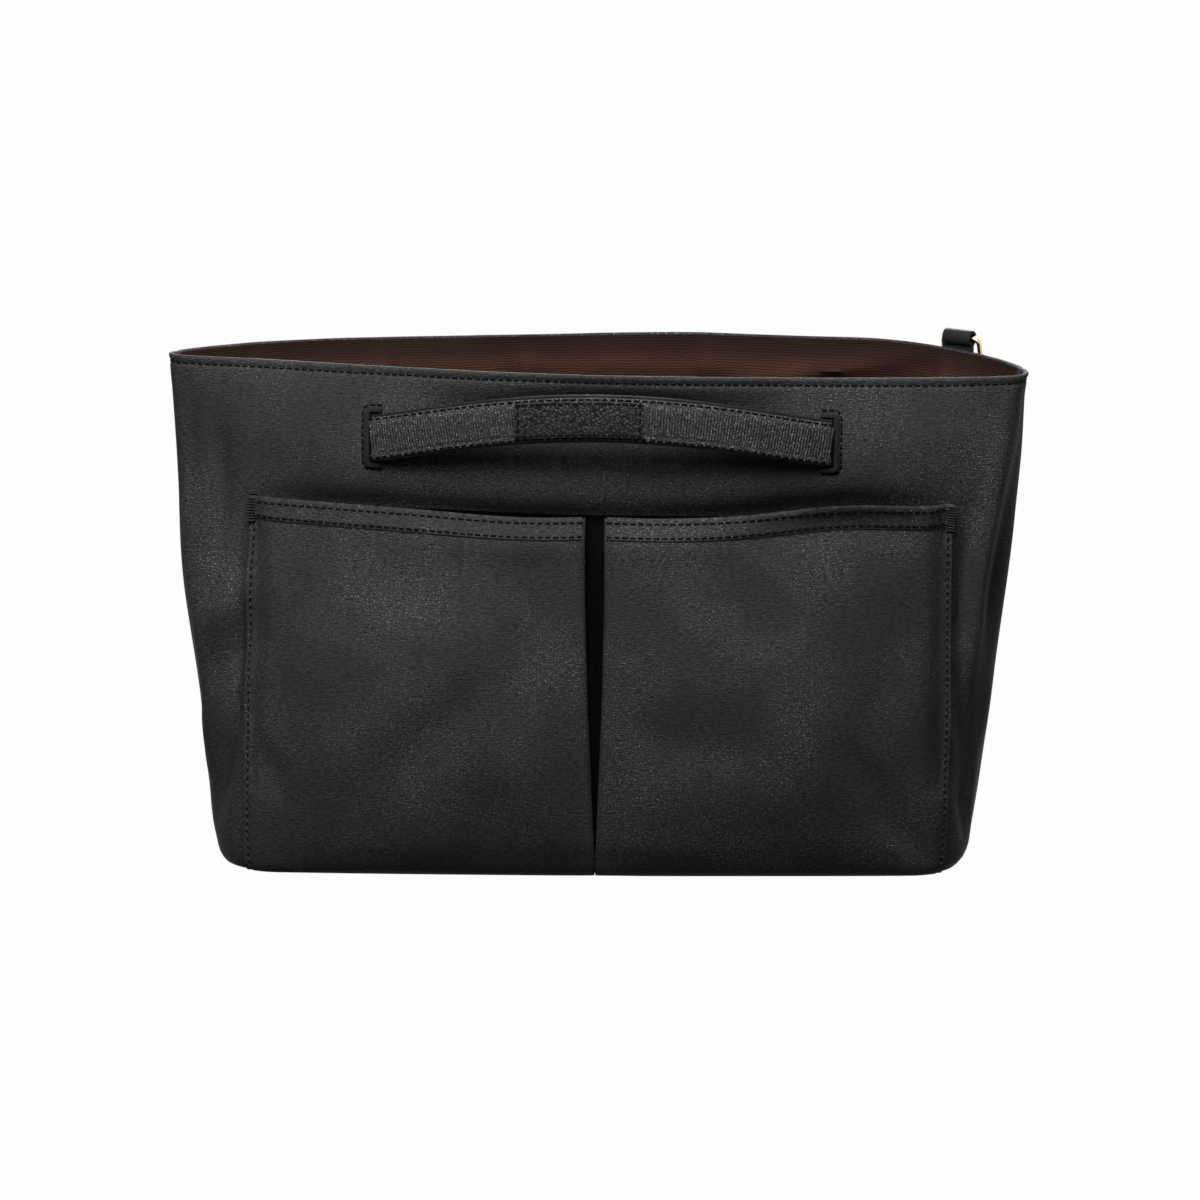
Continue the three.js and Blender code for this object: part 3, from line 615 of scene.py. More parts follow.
# Stitches and ribs: one tree sets a small shape along a path.
def alongPathTree():
    tree = bpy.data.node_groups.new("setAlongPath", "GeometryNodeTree")
    face = tree.interface
    for name, kind in (("Geometry", "Geometry"), ("Shape", "Object"), ("Pitch", "Float"), ("Unevenness", "Float"),
                       ("Seed", "Int"), ("Material", "Material")):
        face.new_socket(name, in_out="INPUT", socket_type=f"NodeSocket{kind}")
    face.new_socket("Geometry", in_out="OUTPUT", socket_type="NodeSocketGeometry")
    given = addNode(tree, "NodeGroupInput").outputs
    curve = addNode(tree, "GeometryNodeMeshToCurve", Mesh=given["Geometry"]).outputs["Curve"]
    even = addNode(tree, "GeometryNodeResampleCurve", {"mode": "LENGTH"}, Curve=curve, Length=given["Pitch"])
    facing = addNode(tree, "GeometryNodeInputNamedAttribute", {"data_type": "FLOAT_VECTOR"}, Name="facing")
    tangent = addNode(tree, "GeometryNodeInputTangent").outputs[0]
    lengthwise = addNode(tree, "FunctionNodeAlignRotationToVector", {"axis": "X"}, Vector=tangent)
    turned = addNode(tree, "FunctionNodeAlignRotationToVector", {"axis": "Z", "pivot_axis": "X"},
                     Rotation=lengthwise.outputs[0], Vector=facing.outputs[0])
    shape = addNode(tree, "GeometryNodeObjectInfo", Object=given["Shape"]).outputs["Geometry"]
    size = addNode(tree, "FunctionNodeRandomValue", {"data_type": "FLOAT"}, Seed=given["Seed"])
    numbers = [s for s in size.inputs if s.type == "VALUE" and s.enabled]
    for socket, operation in zip(numbers, ("SUBTRACT", "ADD")):
        tree.links.new(mathNode(tree, operation, 1.0, given["Unevenness"]), socket)
    sized = next(s for s in size.outputs if s.type == "VALUE")
    placed = addNode(tree, "GeometryNodeInstanceOnPoints", Points=even.outputs[0], Instance=shape,
                     Rotation=turned.outputs[0], Scale=sized)
    real = addNode(tree, "GeometryNodeRealizeInstances", Geometry=placed.outputs[0])
    finished = addNode(tree, "GeometryNodeSetMaterial", Geometry=real.outputs[0], Material=given["Material"])
    addNode(tree, "NodeGroupOutput", Geometry=finished.outputs[0])
    return tree


pathTree = alongPathTree()


# A low capsule: length on X, width on Y, height on Z.
def capsuleShape(name, length, width, height, sides=8, steps=2):
    rings = []
    for end, order in ((-1, range(steps + 1)), (1, reversed(range(steps + 1)))):
        for k in order:
            angle = math.pi / 2 * k / steps
            x = end * (length / 2 - height / 2 * (1 - math.cos(math.pi / 2 - angle)))
            rings.append((x, max(math.sin(angle), 0.25)))
    turns = [2 * math.pi * i / sides for i in range(sides)]
    points = [(x, r * width / 2 * math.cos(a), r * height / 2 * math.sin(a)) for x, r in rings for a in turns]
    mesh = bpy.data.meshes.new(name)
    mesh.from_pydata((np.array(points) * mm).tolist(), [], loftFaces(len(rings), sides))
    mesh.shade_smooth()
    return linkObject(name, mesh)


def setAlong(name, routes, shape, pitch, material, unevenness=0.06, seed=3):
    points, edges, facings = [], [], []
    for places, normals in routes:
        first = len(points)
        points += [tuple(p) for p in places]
        facings += [tuple(n) for n in normals]
        edges += [(first + i, first + i + 1) for i in range(len(places) - 1)]
    mesh = bpy.data.meshes.new(name + "Path")
    mesh.from_pydata(points, edges, [])
    attribute = mesh.attributes.new("facing", "FLOAT_VECTOR", "POINT")
    attribute.data.foreach_set("vector", np.array(facings, dtype=np.float32).ravel())
    carrier = linkObject(name + "Path", mesh)
    modifier = carrier.modifiers.new("setAlongPath", "NODES")
    modifier.node_group = pathTree
    values = {"Shape": shape, "Pitch": pitch * mm, "Unevenness": unevenness, "Seed": seed, "Material": material}
    for item in pathTree.interface.items_tree:
        if item.in_out == "INPUT" and item.name in values:
            modifier[item.identifier] = values[item.name]
    bpy.context.view_layer.update()
    made = bpy.data.meshes.new_from_object(carrier.evaluated_get(bpy.context.evaluated_depsgraph_get()))
    bpy.data.objects.remove(carrier)
    made.attributes.remove(made.attributes["facing"])
    made.name = name
    piece = linkObject(name, made)
    return piece


stitchLook = {"pitch": 3.1, "length": 2.0, "width": 0.74, "height": 0.5, "tackPitch": 1.1, "tack": (0.62, 3.2, 0.6)}
stitchShape = capsuleShape("stitchShape", stitchLook["length"], stitchLook["width"], stitchLook["height"])


def stitchRows(name, rows, body="insert", material=thread, pitch=stitchLook["pitch"]):
    piece = setAlong(name, rows, stitchShape, pitch, material)
    if body:
        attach(piece, body)
    return piece


def routeOn(surface, places, out):
    along, level = np.array(places, float).T
    return surfaceFrame(surface, along, level, out)


def straight(start, end, pitch=2.0):
    steps = max(2, math.ceil(math.dist(start, end) / pitch))
    return [tuple(a + (b - a) * k / steps for a, b in zip(start, end)) for k in range(steps + 1)]


slotSizes = {
    "front": ((-91.1, 177.9), (93.1, 180.2)),  # (along, level) of each slot from the middle of its side
    "back": ((-92, 178.5), (92, 178.5)),
    "width": 4,
    "height": 22,
    "window": 25,
}
stiffenerIn = wall["canvas"] + room
liningIn = stiffenerIn + wall["stiffener"] + room


def slotsOf(centre):
    return slotSizes["front"] if centre == 0 else slotSizes["back"]


def slotRows(centre):
    return sorted({level + end * slotSizes["height"] / 2 for _, level in slotsOf(centre) for end in (-1, 1)})


def wallColumns(centre, pitch):
    half = slotSizes["width"] / 2
    marks = [-sideSeam + wall["seamGap"], sideSeam - wall["seamGap"]]
    for along, _ in slotsOf(centre):
        turn = math.copysign(1, along)
        marks += [along - turn * half, along + turn * half, along + turn * (slotSizes["window"] - half)]
    return spread(sorted(marks), pitch)


def slotCells(centre, columns, levels, reach):
    keep = np.ones((len(levels) - 1, len(columns) - 1), dtype=bool)
    middle = (columns[1:] + columns[:-1]) / 2
    height = (levels[1:] + levels[:-1]) / 2
    for along, level in slotsOf(centre):
        outward = (middle - along) * math.copysign(1, along) + slotSizes["width"] / 2
        across = (outward > 0) & (outward < reach)
        keep &= ~((np.abs(height - level) < slotSizes["height"] / 2)[:, None] & across[None, :])
    return keep


# The canvas goes up the outside, rolls over the rim and ends in a short turned edge inside.
def canvasPanel(name, centre, node):
    rim, thick = wall["rimThickness"], wall["canvas"]
    half = rim / 2
    seam = np.array([wall["seamGap"], 0.6, 1.2, 2.0, 3.0])
    columns = np.unique(np.concatenate([wallColumns(centre, 2.2), sideSeam - seam, seam - sideSeam]).round(4))
    low = spread([wall["foot"], 2.4, wall["feltFoot"], *slotRows(centre), wallTop - 6, wallTop - 5], 2.6)
    low = np.concatenate([low, spread([wallTop - 5, wallTop - half], 0.45)[1:]])
    roll = [math.pi * k / 8 for k in range(1, 9)]
    faceOut = np.concatenate([np.zeros(len(low)), [-half + half * math.cos(a) for a in roll]])
    faceLevel = np.concatenate([low, [wallTop - half + half * math.sin(a) for a in roll]])
    faceLevel[-1] -= 0.3
    backOut = np.concatenate([np.full(len(low), -thick), np.linspace(-thick - 0.05, -rim + 0.1, 8)])
    backLevel = np.concatenate([low, np.linspace(wallTop - half - 0.1, wallTop - half - 2.2, 8)])
    dip = -groove(np.abs(columns) - sideSeam, 0.9, 1.6)[None, :]
    face = wallPlace(centre + columns[None, :], faceLevel[:, None], faceOut[:, None] + dip)
    back = wallPlace(centre + columns[None, :], backLevel[:, None], backOut[:, None] + dip)
    keep = slotCells(centre, columns, faceLevel, slotSizes["width"])
    uv = gridUv(centre + columns, faceLevel - faceOut)
    faces = sheetFaces(len(faceLevel), len(columns), keep)
    piece = addPiece(name, np.stack([face, back]), faces, canvas, np.concatenate([uv, uv]), 60)
    if centre == 0:  # what lies behind the pockets is coloured near black, as painted shade in the pleat and inside the pockets
        piece.data.materials.append(paintedShadeCanvasBack)
        reach, under = (pocket["halfWidth"] - 6) * mm, (wallTop - pocket["drop"] - 4.5) * mm
        for cell in piece.data.polygons:
            x, y, z = cell.center
            if abs(x) < reach and y < 0 and z < under:
                cell.material_index = 1
    settle(piece, node)


def stiffenerPanel(name, centre, node):
    columns = wallColumns(centre, 3.5)
    levels = spread([wall["feltFoot"], *slotRows(centre), wallTop - wall["feltTop"]], 4)
    depths = (stiffenerIn, stiffenerIn + wall["stiffener"])
    grids = [wallPlace(centre + columns[None, :], levels[:, None], -deep) for deep in depths]
    keep = slotCells(centre, columns, levels, slotSizes["window"])
    settle(addPiece(name, np.stack(grids), sheetFaces(len(levels), len(columns), keep), felt), node)


# The lining hangs a little loose, so it has its own soft folds, and it closes in on the canvas at the rim.
liningFolds = [  # as the wall's, but from the middle of the back
    (-40, 206, -80, 150, 9, 1.4),
    (-141, 204, -143, 184, 3.2, 7.0),
    (-152, 204, -150, 184, 3.4, 5.0),
    (-60, 188, -134, 203, 3.2, 4.4),
    (-38, 203, -40, 184, 4, 4.4),
    (95, 203, 97, 186, 3.4, 4.0),
    (146, 203, 147, 186, 3.4, 3.6),
    (35, 200, 34, 184, 4, 3.4),
    (66, 206, 40, 150, 8, 1.8),
    (120, 206, 104, 150, 9, 1.6),
    (8, 204, -24, 160, 12, 1.2),
]


# Below the rim it closes in over that reach and comes loose over the ease, by slow waves of those lengths.
lining = {"atRim": 0.7, "closesIn": (3, 9), "ease": 12, "loose": 0.5, "waves": (17, 31, 41, 23)}


def liningOut(along, level):
    start, reach = lining["closesIn"]
    down = clamp((wallTop - start - level) / reach)
    turned = np.mod(along, girth)
    ease = clamp((wallTop - level) / lining["ease"])
    folds = [(backCentre + a0, l0, backCentre + a1, l1, *size) for a0, l0, a1, l1, *size in liningFolds]
    loose = foldDepth(turned, level, folds) * ease
    a, b, c, d = lining["waves"]
    loose = loose + lining["loose"] * ease * (1 + np.sin(turned / a + level / b) * np.sin(turned / c - level / d))
    atRim = wall["rimThickness"] - lining["atRim"]
    return -atRim - (liningIn + 0.1 - atRim) * down - np.maximum(loose, 0)


def liningPlace(along, level, inward=0.0):
    return wallPlace(along, level, liningOut(along, level) - inward)


def liningSheet(name, surface, centre, columns, levels, node, uvLift=0.0):
    grids = [surface(centre + columns[None, :], levels[:, None], deep) for deep in (0.0, wall["lining"])]
    uv = gridUv(centre + columns, levels) + (0, uvLift)
    faces = sheetFaces(len(levels), len(columns))
    piece = addPiece(name, np.stack(grids), faces, faille, np.stack([uv, uv]), 60)
    settle(piece, node)
    return piece


def liningPanel(name, centre, node):
    half = sideSeam - wall["seamGap"]
    low, high = wall["liningEnds"]
    levels = spread([low, wallTop - 14, wallTop - high], 2.6)
    liningSheet(name, liningPlace, centre, spread([-half, 0, half], 2.4), levels, node)


canvasPanel("outerFrontCanvas", 0, "outer_front_panel")
canvasPanel("outerBackCanvas", backCentre, "outer_back_panel")
stiffenerPanel("frontStiffenerFelt", 0, "front_stiffener")
stiffenerPanel("backStiffenerFelt", backCentre, "back_stiffener")
liningPanel("frontLiningCloth", 0, "front_lining")
liningPanel("backLiningCloth", backCentre, "back_lining")
print("walls made")


# The bottom's layers: how far inside the wall, from which level to which, and how much the edge is broken.
base = {
    "outerBaseCanvas": (2.6, 0, 1.3, 0.4),
    "baseFibreBoard": (4.4, 1.6, 4.0, 0.5),
    "baseLiningCloth": (liningIn + 1.4, 4.3, 5.1, 0.3),
}


def basePlate(name, material, node):
    inset, bottom, top, edge = base[name]
    around = spread([0, girth], 3)[:-1]
    rings = []
    for level, more in [(bottom, edge), (bottom + edge, 0), (top - edge, 0), (top, edge)]:
        ring = wallPlace(around, 0.0, -inset - more)
        ring[:, 2] = level * mm
        rings.append(ring)
    under = [rings[0] * np.array([share, share, 1]) for share in (0.2, 0.5, 0.8)]
    over = [rings[-1] * np.array([share, share, 1]) for share in (0.8, 0.5, 0.2)]
    stack = np.array(under + rings + over)
    settle(addPiece(name, stack, loftFaces(len(stack), len(around)), material, stack[..., :2], 50), node)


basePlate("outerBaseCanvas", canvas, "outer_base")
basePlate("baseFibreBoard", board, "base_board")
basePlate("baseLiningCloth", faille, "base_lining")
print("base made")


# Creases in the pockets' cloth, in the same terms as the wall's folds, measured from the pleat.
pocketFolds = {
    -1: [
        (138.8, 146, 137.4, 40, 4.2, 4.6), (134, 118, 126, 60, 7, 1.4), (133, 56, 126, 34, 4, 2.0),
        (92, 34, 36, 86, 12, 1.7), (102, 50, 44, 100, 9, -1.3), (24, 126, 34, 60, 9, 1.2),
        (84, 110, 60, 132, 12, 1.4),
    ],
    1: [
        (138.8, 158, 137.2, 40, 4.2, 5.4), (128, 126, 112, 72, 9, 1.2), (98, 60, 130, 16, 6, 2.4),
        (20, 62, 60, 58, 14, 1.7), (52, 126, 72, 96, 10, 1.5), (112, 30, 134, 8, 4, 1.8), (22, 130, 30, 86, 8, 1.1),
    ],
}
pocketSwells = {
    -1: [(44, 50, 20, 16, 1.4), (92, 96, 34, 30, 1.5)],
    1: [(50, 40, 26, 14, 1.3), (86, 78, 16, 44, 1.8)],
}


# Half the pleat's open width: it widens upward.
def pleatHalf(level):
    share = clamp(level / pocketTop)
    return 0.15 + pocket["pleatGap"] * (0.9 * share - 0.4 * share**3)


# How far the pocket's cloth stands off the wall.
def pocketStand(side, across, level):
    edge = pleatHalf(level)
    share = clamp((across - edge) / (pocket["halfWidth"] - edge))
    rise = clamp(level / pocketTop)
    layers = 2 * (pocket["cloth"] + room) * np.minimum(1, (1 - share) / 0.87)
    high, up, sideways, low, more = pocket["swell"]
    slack = high * rise**up * (1 - share) ** sideways * (low + more * share)
    high, up, sideways = pocket["belly"]
    slack = slack + high * np.sin(math.pi * rise**up) * np.sin(math.pi * share) ** sideways
    moved = foldDepth(across, level, pocketFolds[side]) - swell(across, level, pocketSwells[side])
    folds = moved * clamp(np.minimum(share * 9, (1 - share) * 40))
    sewn = groove(across - pocket["halfWidth"] + 2.0, 0.5)
    return room + layers + slack + mouthDent(side * across, level) - folds - sewn


def pocketDrop(side, across, level):
    share = clamp(across / pocket["halfWidth"])
    rise = clamp(level / pocketTop)
    return rise**6 * mouthDrop(side, share)


def pocketPlace(side):
    def place(along, level, out=0.0):
        across = np.abs(along)
        stand = np.maximum(pocketStand(side, across, level), room)
        return wallPlace(along, level - pocketDrop(side, across, level), stand + pocket["cloth"] + out)

    return place


# One level of a pocket's cloth as its middle line: (across, off the wall), from the sewn side to the centre.
def pocketMiddle(side, level, columns):
    edge = float(pleatHalf(level))
    half = pocket["cloth"] / 2
    step = pocket["cloth"] + room
    back = room + half
    deep = room + step + half

    def stand(across):
        return float(pocketStand(side, across, level)) + half

    start = stand(edge)
    face = [(a, stand(a)) for a in columns if a > edge + 2.2]
    bend = [(edge + 1.5, stand(edge + 1.5)), (edge + 0.5, start - 0.1), (edge, start - min(1.0, (start - deep) / 2)),
            (edge + 0.2, (start + deep) / 2), (edge + 0.9, deep + 0.05)]
    fold = edge + pocket["pleatFold"]
    under = [(edge + 5, deep), (fold - 1.2, deep), (fold - 0.2, deep - 0.35), (fold - 0.2, back + 0.35),
             (fold - 1.2, back), (edge + 5, back), (0.12, back)]
    return np.array(face + bend + under)


def pocketPiece(side, word):
    end = pocket["halfWidth"]
    columns = spread([2.6, 6, 20, end - 4], 2.6)[::-1]
    columns = np.concatenate([spread([end - 4, end], 0.5)[:0:-1], columns[columns > 6], [5, 4]])
    half = pocket["cloth"] / 2
    rings, uvs = [], []
    for level in spread([wall["foot"], wall["feltFoot"], pocketTop - 10, pocketTop], 2.8):
        edge = float(pleatHalf(level))
        scaled = edge + 2.3 + (columns - columns[-1]) / (columns[0] - columns[-1]) * (end - edge - 2.3)
        middle = pocketMiddle(side, level, scaled)
        ahead = unit(np.gradient(middle, axis=0))
        aside = np.stack([-ahead[:, 1], ahead[:, 0]], axis=-1) * half
        ring = np.concatenate([middle + aside, (middle - aside)[::-1]])
        across, off = np.maximum(ring[:, 0], 0.1), np.maximum(ring[:, 1], 0.12)
        drop = pocketDrop(side, across, level) * clamp((off - 1.5) / 2)
        drop = drop + 7 * clamp(level / pocketTop) ** 8 * clamp((3 - off) / 1.5) * (across < 24)
        rings.append(wallPlace(side * across, level - drop, off))
        run = lengthAlong(middle)
        uvs.append(np.stack([np.concatenate([run, run[::-1]]), np.full(len(ring), level)], axis=-1) * mm)
    stack = np.array(rings)
    around = stack.shape[1]
    faces = loftFaces(len(stack), around)
    piece = addPiece(f"frontPocket{word}Cloth", stack, faces, canvas, np.array(uvs), 50)
    # The pleat's hidden faces take the near-black canvas back, as painted shade.
    piece.data.materials.append(paintedShadeCanvasBack)
    hidden = range(len(columns) + 3, around - len(columns) - 2)
    for face in piece.data.polygons:
        if len(face.vertices) > 4 or all(v % around in hidden for v in face.vertices):
            face.material_index = 1
    settle(piece, f"front_pocket_{word.lower()}")


# The hem is the pocket's edge turned outward, so it is a band with a rolled top.
def hemPiece(side, word):
    surface = pocketPlace(side)
    edge = float(pleatHalf(pocketTop))
    thick = pocket["hemCloth"]
    profile = np.array([
        (-0.05, -8.6), (0.35, -8.62), (thick, -8.2), (thick, -6), (thick, -3), (thick + 0.1, -1.4),
        (thick + 0.05, -0.3), (thick - 0.25, 0.35), (thick - 0.8, 0.62), (-0.9, 0.45), (-1.15, -0.2),
        (-1.1, -1.2), (-0.2, -1.2), (-0.05, -3),
    ])
    out, level = profile[:, 0], pocketTop + profile[:, 1]
    rings, uvs = [], []
    for a in spread([edge + 0.6, pocket["halfWidth"]], 2.2):
        rings.append(surface(np.full(len(profile), side * a), level, out))
        uvs.append(np.stack([np.full(len(profile), a), level + out], axis=-1) * mm)
    stack = np.array(rings)
    faces = loftFaces(len(stack), len(profile))
    piece = addPiece(f"frontPocketHem{word}Band", stack, faces, canvas, np.array(uvs), 50)
    settle(piece, f"front_pocket_hem_{word.lower()}")
    return surface, edge, thick


def pocketStitches(side, word, surface, edge, thick):
    end = pocket["halfWidth"] - 1.4
    name = f"frontPocket{word}"

    def route(start, stop, out):
        places = straight((side * start[0], pocketTop - start[1]), (side * stop[0], pocketTop - stop[1]))
        return routeOn(surface, places, out)

    rows = [route((edge + 1.6, down), (end, down), thick + 0.12) for down in pocket["rows"]]
    stitchRows(name + "Stitches", rows)
    seam = [route((end - 0.6, 9.5), (end - 0.6, pocketTop - 3), 0.12)]
    # The seam and the bar tack take the grey thread, a painted highlight on the stitches.
    stitchRows(name + "SeamStitches", seam, material=paintedHighlightThread)
    tack = [route(*((end + 0.6, down) for down in pocket["tack"]), thick + 0.2)]
    piece = setAlong(name + "BarTack", tack, tackCross, stitchLook["tackPitch"], paintedHighlightThread, 0.15)
    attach(piece, "insert")


tackCross = capsuleShape("tackCross", *stitchLook["tack"])
for side, word in ((-1, "Left"), (1, "Right")):
    pocketPiece(side, word)
    pocketStitches(side, word, *hemPiece(side, word))
print("front pockets made")


# The slip pockets are flat cloths sewn on the lining on three sides.
# Rows of stitches run inset from the edges, and one across under the band. The cut is the flat size in metres.
slip = {"halfWidth": 128, "drop": 20, "floor": 40, "swell": 6.5, "inset": 1.6, "band": 9, "cut": (0.257, 0.147)}
slipTop = wallTop - slip["drop"]


def slipPlace(centre):
    def place(along, level, inward=0.0):
        rise = clamp((level - slip["floor"]) / (slipTop - slip["floor"]))
        middle = np.cos(math.pi / 2 * clamp((along - centre) / slip["halfWidth"], -1, 1)) ** 2
        bulge = slip["swell"] * rise**1.5 * middle
        return liningPlace(along, level, wall["lining"] + room + bulge + inward)

    return place


def slipPocket(name, centre, node):
    surface = slipPlace(centre)
    half = slip["halfWidth"]
    levels = spread([slip["floor"], slipTop - slip["band"], slipTop], 3)
    piece = liningSheet(name, surface, centre, spread([-half, 0, half], 3), levels, node, 0.01)
    inset, ends = slip["inset"], (centre - half + 2, centre + half - 2)
    lines = [[(end, slipTop - down) for end in ends] for down in (inset, slip["band"])]
    for at in (-half + inset, 0, half - inset):
        lines.append([(centre + at, level) for level in (slipTop - inset, slip["floor"] + 1.5)])
    rows = []
    for start, stop in lines:
        point, normal = routeOn(surface, straight(start, stop), wall["lining"] + 0.1)
        rows.append((point, -normal))
    stitches = stitchRows(name + "Stitches", rows)


for label, centre in centres.items():
    slipPocket(f"{label}SlipPocketCloth", centre, f"{label}_slip_pocket")
print("slip pockets made")


def rimStitches(name, centre):
    level = wallTop - wall["rimRow"]
    row = routeOn(wallPlace, straight((centre - sideSeam + 2, level), (centre + sideSeam - 2, level)), 0.1)
    stitchRows(name, [row])


for label, centre in centres.items():
    rimStitches(f"{label}RimStitches", centre)


handle = {
    "width": 19,
    "thickness": 1.3,
    "webbing": 16.8,
    "webbingThickness": 0.9,
    "bow": {"front": 17.1, "back": 21.5},
    "lift": 12.5,
    "seat": 1.3,
    "swingHalf": 50,  # from its middle to where the handle begins to bend
    "slotGaps": (2.4, 0.9),  # how far strap and webbing stop before the slot
    "leanLevels": (189.0, 168.0),  # the strap's ends lean as the wall does between these
    "bend": (  # the way in through the slot: how far along from it, and how deep
        (-1.5, -0.95), (-0.9, -0.5), (-0.45, 0.2), (-0.2, 1.1), (0.3, 1.9), (1.4, 2.4),
        (6, 2.5), (14, 2.5), (23.5, 2.5),
    ),
    "ribPitch": 1.15,
    "rib": (1.0, 14.2, 0.55),
    "welt": (2.3, 1.6),  # width and thickness
    "weltPath": (0.4, 9.8, 4.4),  # gap to the slot, half height of its straight run, and how far its ends reach
    "weltStitch": 2.7,
}
# The patch's middle is that far along from the handle's, and its stitches are inset from its edges.
patch = {"length": 51, "width": 14.6, "thickness": 1.0, "centre": -7, "inset": 1.1, "stitch": 2.8}


def handleLine(label):
    centre, turn = (0, 1) if label == "front" else (backCentre, -1)
    slots = slotsOf(centre)[::turn]
    start, end = [wallPlace(centre + along, level) / mm for along, level in slots]
    axis = end - start
    halfSpan = np.hypot(axis[0], axis[1]) / 2
    axis = np.array([axis[0], axis[1], 0]) / (2 * halfSpan)
    outward = turn * np.array([axis[1], -axis[0], 0])
    high, low = handle["leanLevels"]
    leans = []
    for along, _ in slots:
        lean = (wallPlace(centre + along, high) - wallPlace(centre + along, low)) / mm
        leans.append(unit(lean - axis * np.dot(lean, axis)))
    leans.insert(1, unit(leans[0] + leans[1]))
    return {"centre": centre, "slots": slots, "start": start, "end": end, "middle": (start + end) / 2, "axis": axis,
            "outward": outward, "halfSpan": halfSpan, "bow": handle["bow"][label], "leans": leans}


# The strap's middle line at distances from the middle, which way its width stands there, and which way is out.
def strapPath(line, across):
    across = np.asarray(across, float)
    rise = clamp(1 - (across / line["halfSpan"]) ** 2)
    slope = (line["end"][2] - line["start"][2]) / (2 * line["halfSpan"])
    points = line["middle"] + across[:, None] * line["axis"]
    points = points + (handle["seat"] + line["bow"] * rise)[:, None] * line["outward"]
    points[:, 2] = line["middle"][2] + slope * across + handle["lift"] * rise**1.2
    turn = clamp((np.abs(across) - handle["swingHalf"]) / (line["halfSpan"] - handle["swingHalf"]))[:, None]
    ends = np.where(across[:, None] < 0, line["leans"][0], line["leans"][2])
    up = unit(line["leans"][1] * (1 - turn) + ends * turn)
    return points, up, strapOut(points, up, line["outward"])


def strapOut(points, up, outward):
    out = unit(np.cross(np.gradient(points, axis=0), up))
    return out * math.copysign(1, float(np.dot(out[len(out) // 2], outward)))


def sweep(name, points, out, up, section, material):
    section = np.array(section)
    rings = points[:, None, :] + section[None, :, 0:1] * out[:, None, :] + section[None, :, 1:2] * up[:, None, :]
    uv = np.stack(np.broadcast_arrays(lengthAlong(points)[:, None], section[None, :, 1]), axis=-1) * mm
    return addPiece(name, rings * mm, loftFaces(len(points), len(section)), material, uv)


# Each half of a handle goes from its fixed slot to the swinging middle, so it bends softly over that length.
def strapHalf(label, side, word):
    line = handleLine(label)
    slotAlong, slotHeight = line["slots"][(side + 1) // 2]
    turn = math.copysign(1, slotAlong)
    fixed = Vector(line["end"] if side > 0 else line["start"]) * mm

    def swings(piece, kind="", middle=""):
        if kind:
            nodes = [f"{label}_{kind}_end_{word.lower()}", f"{label}_handle_{middle}"]
            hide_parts(*(nodes if side > 0 else nodes[:1]))
        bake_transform(piece)

    strapGap, webbingGap = handle["slotGaps"]
    points, up, _ = strapPath(line, side * spread([0, 40, line["halfSpan"] - strapGap], 3))
    inside = [wallPlace(line["centre"] + slotAlong + turn * d, slotHeight, -deep) / mm for d, deep in handle["bend"]]
    points = np.concatenate([points, np.array(inside)])
    up = np.concatenate([up, np.repeat(up[-1:], len(inside), axis=0)])
    out = strapOut(points, up, line["outward"])
    section = roundedBox(handle["thickness"], handle["width"], 0.5)
    swings(sweep(f"{label}HandleStrap{word}", points, out, up, section, strapSkin), "handle", "strap")
    points, up, out = strapPath(line, side * spread([0, 40, line["halfSpan"] - webbingGap], 2))
    lift = handle["thickness"] / 2 + handle["webbingThickness"] / 2 - 0.1
    section = roundedBox(handle["webbingThickness"], handle["webbing"], 0.4, 3)
    webbing = sweep(f"{label}HandleWebbing{word}", points + out * lift, out, up, section, grosgrain)
    swings(webbing, "webbing", "webbing")
    face = lift + handle["webbingThickness"] / 2
    path = points + out * (face - 0.12)
    path[0] = path[0] + unit(path[1] - path[0]) * handle["ribPitch"] / 2
    ribs = [(path * mm, out)]
    swings(setAlong(f"{label}HandleRibs{word}", ribs, ribShape, handle["ribPitch"], grosgrain, 0.02))
    edge = handle["webbing"] / 2 - 0.7
    rows = [((points + out * (face + 0.05) + up * s * edge) * mm, out) for s in (-1, 1)]
    swings(stitchRows(f"{label}HandleStitches{word}", rows, None))


ribShape = capsuleShape("ribShape", *handle["rib"])


# The patch lies on the webbing of the front handle; its face is bare.
def handlePatch():
    half = patch["length"] / 2
    line = handleLine("front")
    points, up, out = strapPath(line, spread([patch["centre"] - half, patch["centre"] + half], 1.5))
    lift = handle["thickness"] / 2 + handle["webbingThickness"] + patch["thickness"] / 2 - 0.05
    section = roundedBox(patch["thickness"], patch["width"], 0.42)
    piece = sweep("handlePatchLeather", points + out * lift, out, up, section, pebble)
    settle(piece, "handle_patch", "front_handle")
    face = lift + patch["thickness"] / 2 + 0.05
    reach = patch["width"] / 2 - patch["inset"]
    inner = slice(1, -1)
    edge = points[inner] + out[inner] * face
    rows = [((edge + up[inner] * s * reach) * mm, out[inner]) for s in (-1, 1)]
    for k in (1, -2):
        row = np.array([points[k] + out[k] * face + up[k] * v for v in np.linspace(-1, 1, 7) * reach])
        rows.append((row * mm, np.repeat(out[k][None, :], 7, axis=0)))
    stitchRows("handlePatchStitches", rows, "front_handle", pitch=patch["stitch"])


